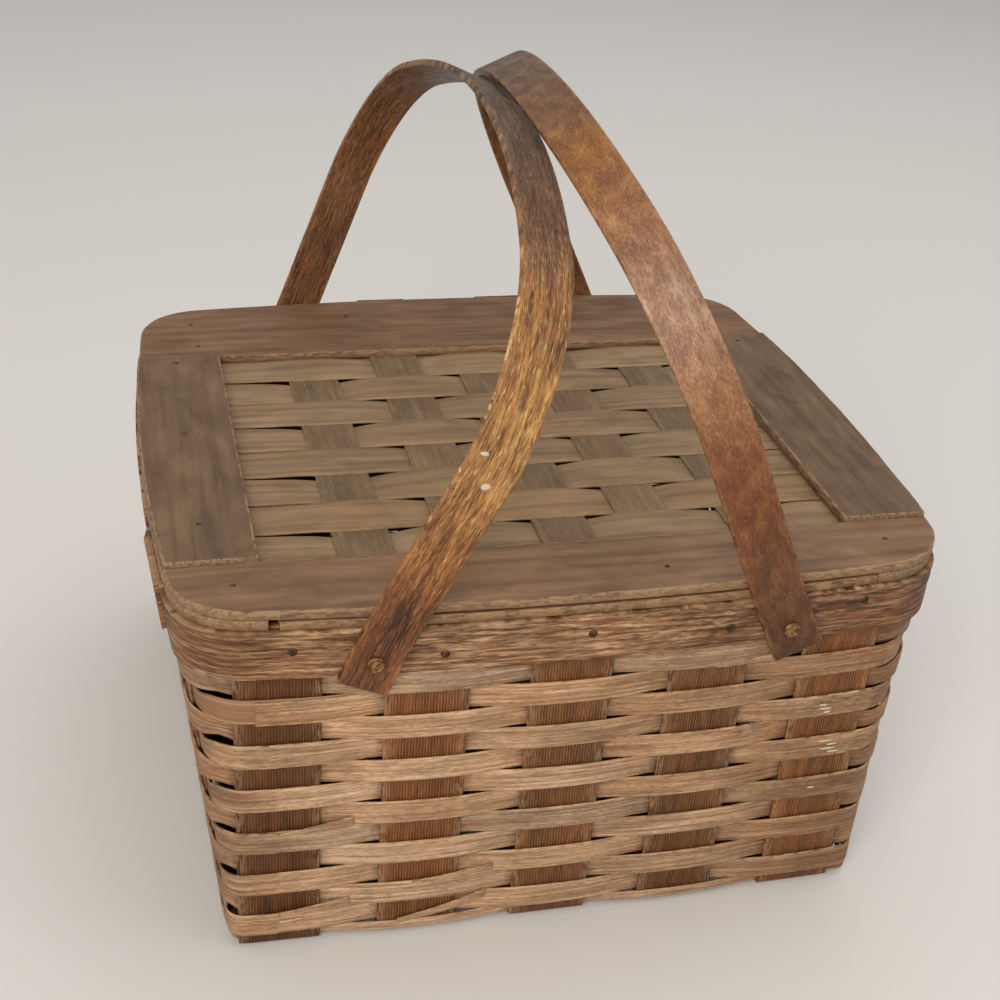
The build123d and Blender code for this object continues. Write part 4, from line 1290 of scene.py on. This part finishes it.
class BASKET_OT_stage(bpy.types.Operator):
    """Pale floor, soft lights and the camera"""

    bl_idname = "basket.stage"
    bl_label = "Stage"

    # Place, size, power and colour of each lamp, and the point they face
    lamps = {
        "Window": ((-1.0, -1.85, 1.4), 1.5, 42.0, "#fff9f0"),
        "Ceiling": ((0.5, 0.5, 2.2), 2.4, 22.0, "#fffcf8"),
        "Fill": ((1.9, -0.9, 1.0), 1.6, 5.0, "#fcfaf6"),
    }
    lit_point = Vector((0, 0, 0.15))
    # The photograph's view: from the front left, looking down
    camera_place = (-0.19166, -0.71938, 0.55619)
    yaw, pitch, roll, lens = 0.2623, 0.5066, 0.0674, 57.65

    def execute(self, context):
        bm = bmesh.new()
        bmesh.ops.create_circle(bm, cap_ends=True, segments=128, radius=40.0)
        mesh = bpy.data.meshes.new("floor")
        bm.to_mesh(mesh)
        bm.free()
        plain("Pale floor", settings("basket_colours").floor, 0.75)
        mesh.materials.append(bpy.data.materials["Pale floor"])
        self.placed("floor", mesh)
        world = bpy.data.worlds.new("Room light")
        context.scene.world = world
        world.use_nodes = True
        background = world.node_tree.nodes["Background"]
        background.inputs["Color"].default_value = linear("#f1f1f0")
        background.inputs["Strength"].default_value = 0.5
        for name, (place, size, power, colour) in self.lamps.items():
            data = bpy.data.lights.new(name, "AREA")
            data.size = size
            data.energy = power
            data.color = linear(colour)[:3]
            lamp = self.placed(name, data)
            lamp.location = place
            lamp.rotation_euler = (self.lit_point - Vector(place)).to_track_quat("-Z", "Y").to_euler()
        self.camera(context)
        context.scene.view_settings.view_transform = "Standard"
        return {"FINISHED"}

    def placed(self, name, data):
        """A new object in the scene."""
        made = bpy.data.objects.new(name, data)
        bpy.context.scene.collection.objects.link(made)
        return made

    def camera(self, context):
        level = Vector((math.cos(self.yaw), -math.sin(self.yaw), 0))
        ahead = Vector((math.sin(self.yaw), math.cos(self.yaw), 0))
        forward = ahead * math.cos(self.pitch) + Vector((0, 0, -math.sin(self.pitch)))
        upward = level.cross(forward)
        right = level * math.cos(self.roll) + upward * math.sin(self.roll)
        top = upward * math.cos(self.roll) - level * math.sin(self.roll)
        data = bpy.data.cameras.new("Camera")
        data.lens, data.sensor_width = self.lens, 36.0
        data.clip_start, data.clip_end = 0.01, 200
        camera = self.placed("Camera", data)
        turn = Matrix((right, top, -forward)).transposed().to_4x4()
        camera.matrix_world = Matrix.Translation(self.camera_place) @ turn
        context.scene.camera = camera


class BASKET_PT_panel(bpy.types.Panel):
    """Lists the basket's sizes, colours and pieces"""

    bl_idname = "BASKET_PT_panel"
    bl_label = "Picnic basket"
    bl_space_type = "VIEW_3D"
    bl_region_type = "UI"
    bl_category = "Basket"

    def draw(self, context):
        for group, kind in GROUPS.items():
            box = self.layout.box()
            box.label(text=kind.__doc__)
            for key in kind.__annotations__:
                box.prop(settings(group), key)
        for step in STEPS:
            self.layout.operator(step.bl_idname)


GROUPS = {
    "basket_plan": BasketPlan,
    "splint_sizes": SplintSizes,
    "handle_sizes": HandleSizes,
    "basket_colours": BasketColours,
}
STEPS = (
    BASKET_OT_finishes,
    BASKET_OT_stakes,
    BASKET_OT_weavers,
    BASKET_OT_rim,
    BASKET_OT_lid_slats,
    BASKET_OT_lid_splints,
    BASKET_OT_handles,
    BASKET_OT_specks,
    BASKET_OT_rivets,
    BASKET_OT_nails,
    BASKET_OT_hinges,
    BASKET_OT_stage,
)


def register():
    for group, kind in GROUPS.items():
        bpy.utils.register_class(kind)
        setattr(bpy.types.Scene, group, bpy.props.PointerProperty(type=kind))
    for kind in (*STEPS, BASKET_PT_panel):
        bpy.utils.register_class(kind)


def unregister():
    for kind in (BASKET_PT_panel, *reversed(STEPS)):
        bpy.utils.unregister_class(kind)
    for group, kind in reversed(GROUPS.items()):
        delattr(bpy.types.Scene, group)
        bpy.utils.unregister_class(kind)


def main():
    """Make the whole basket."""
    register()
    for step in STEPS:
        area, name = step.bl_idname.split(".")
        getattr(getattr(bpy.ops, area), name)()


if __name__ == "__main__":
    main()
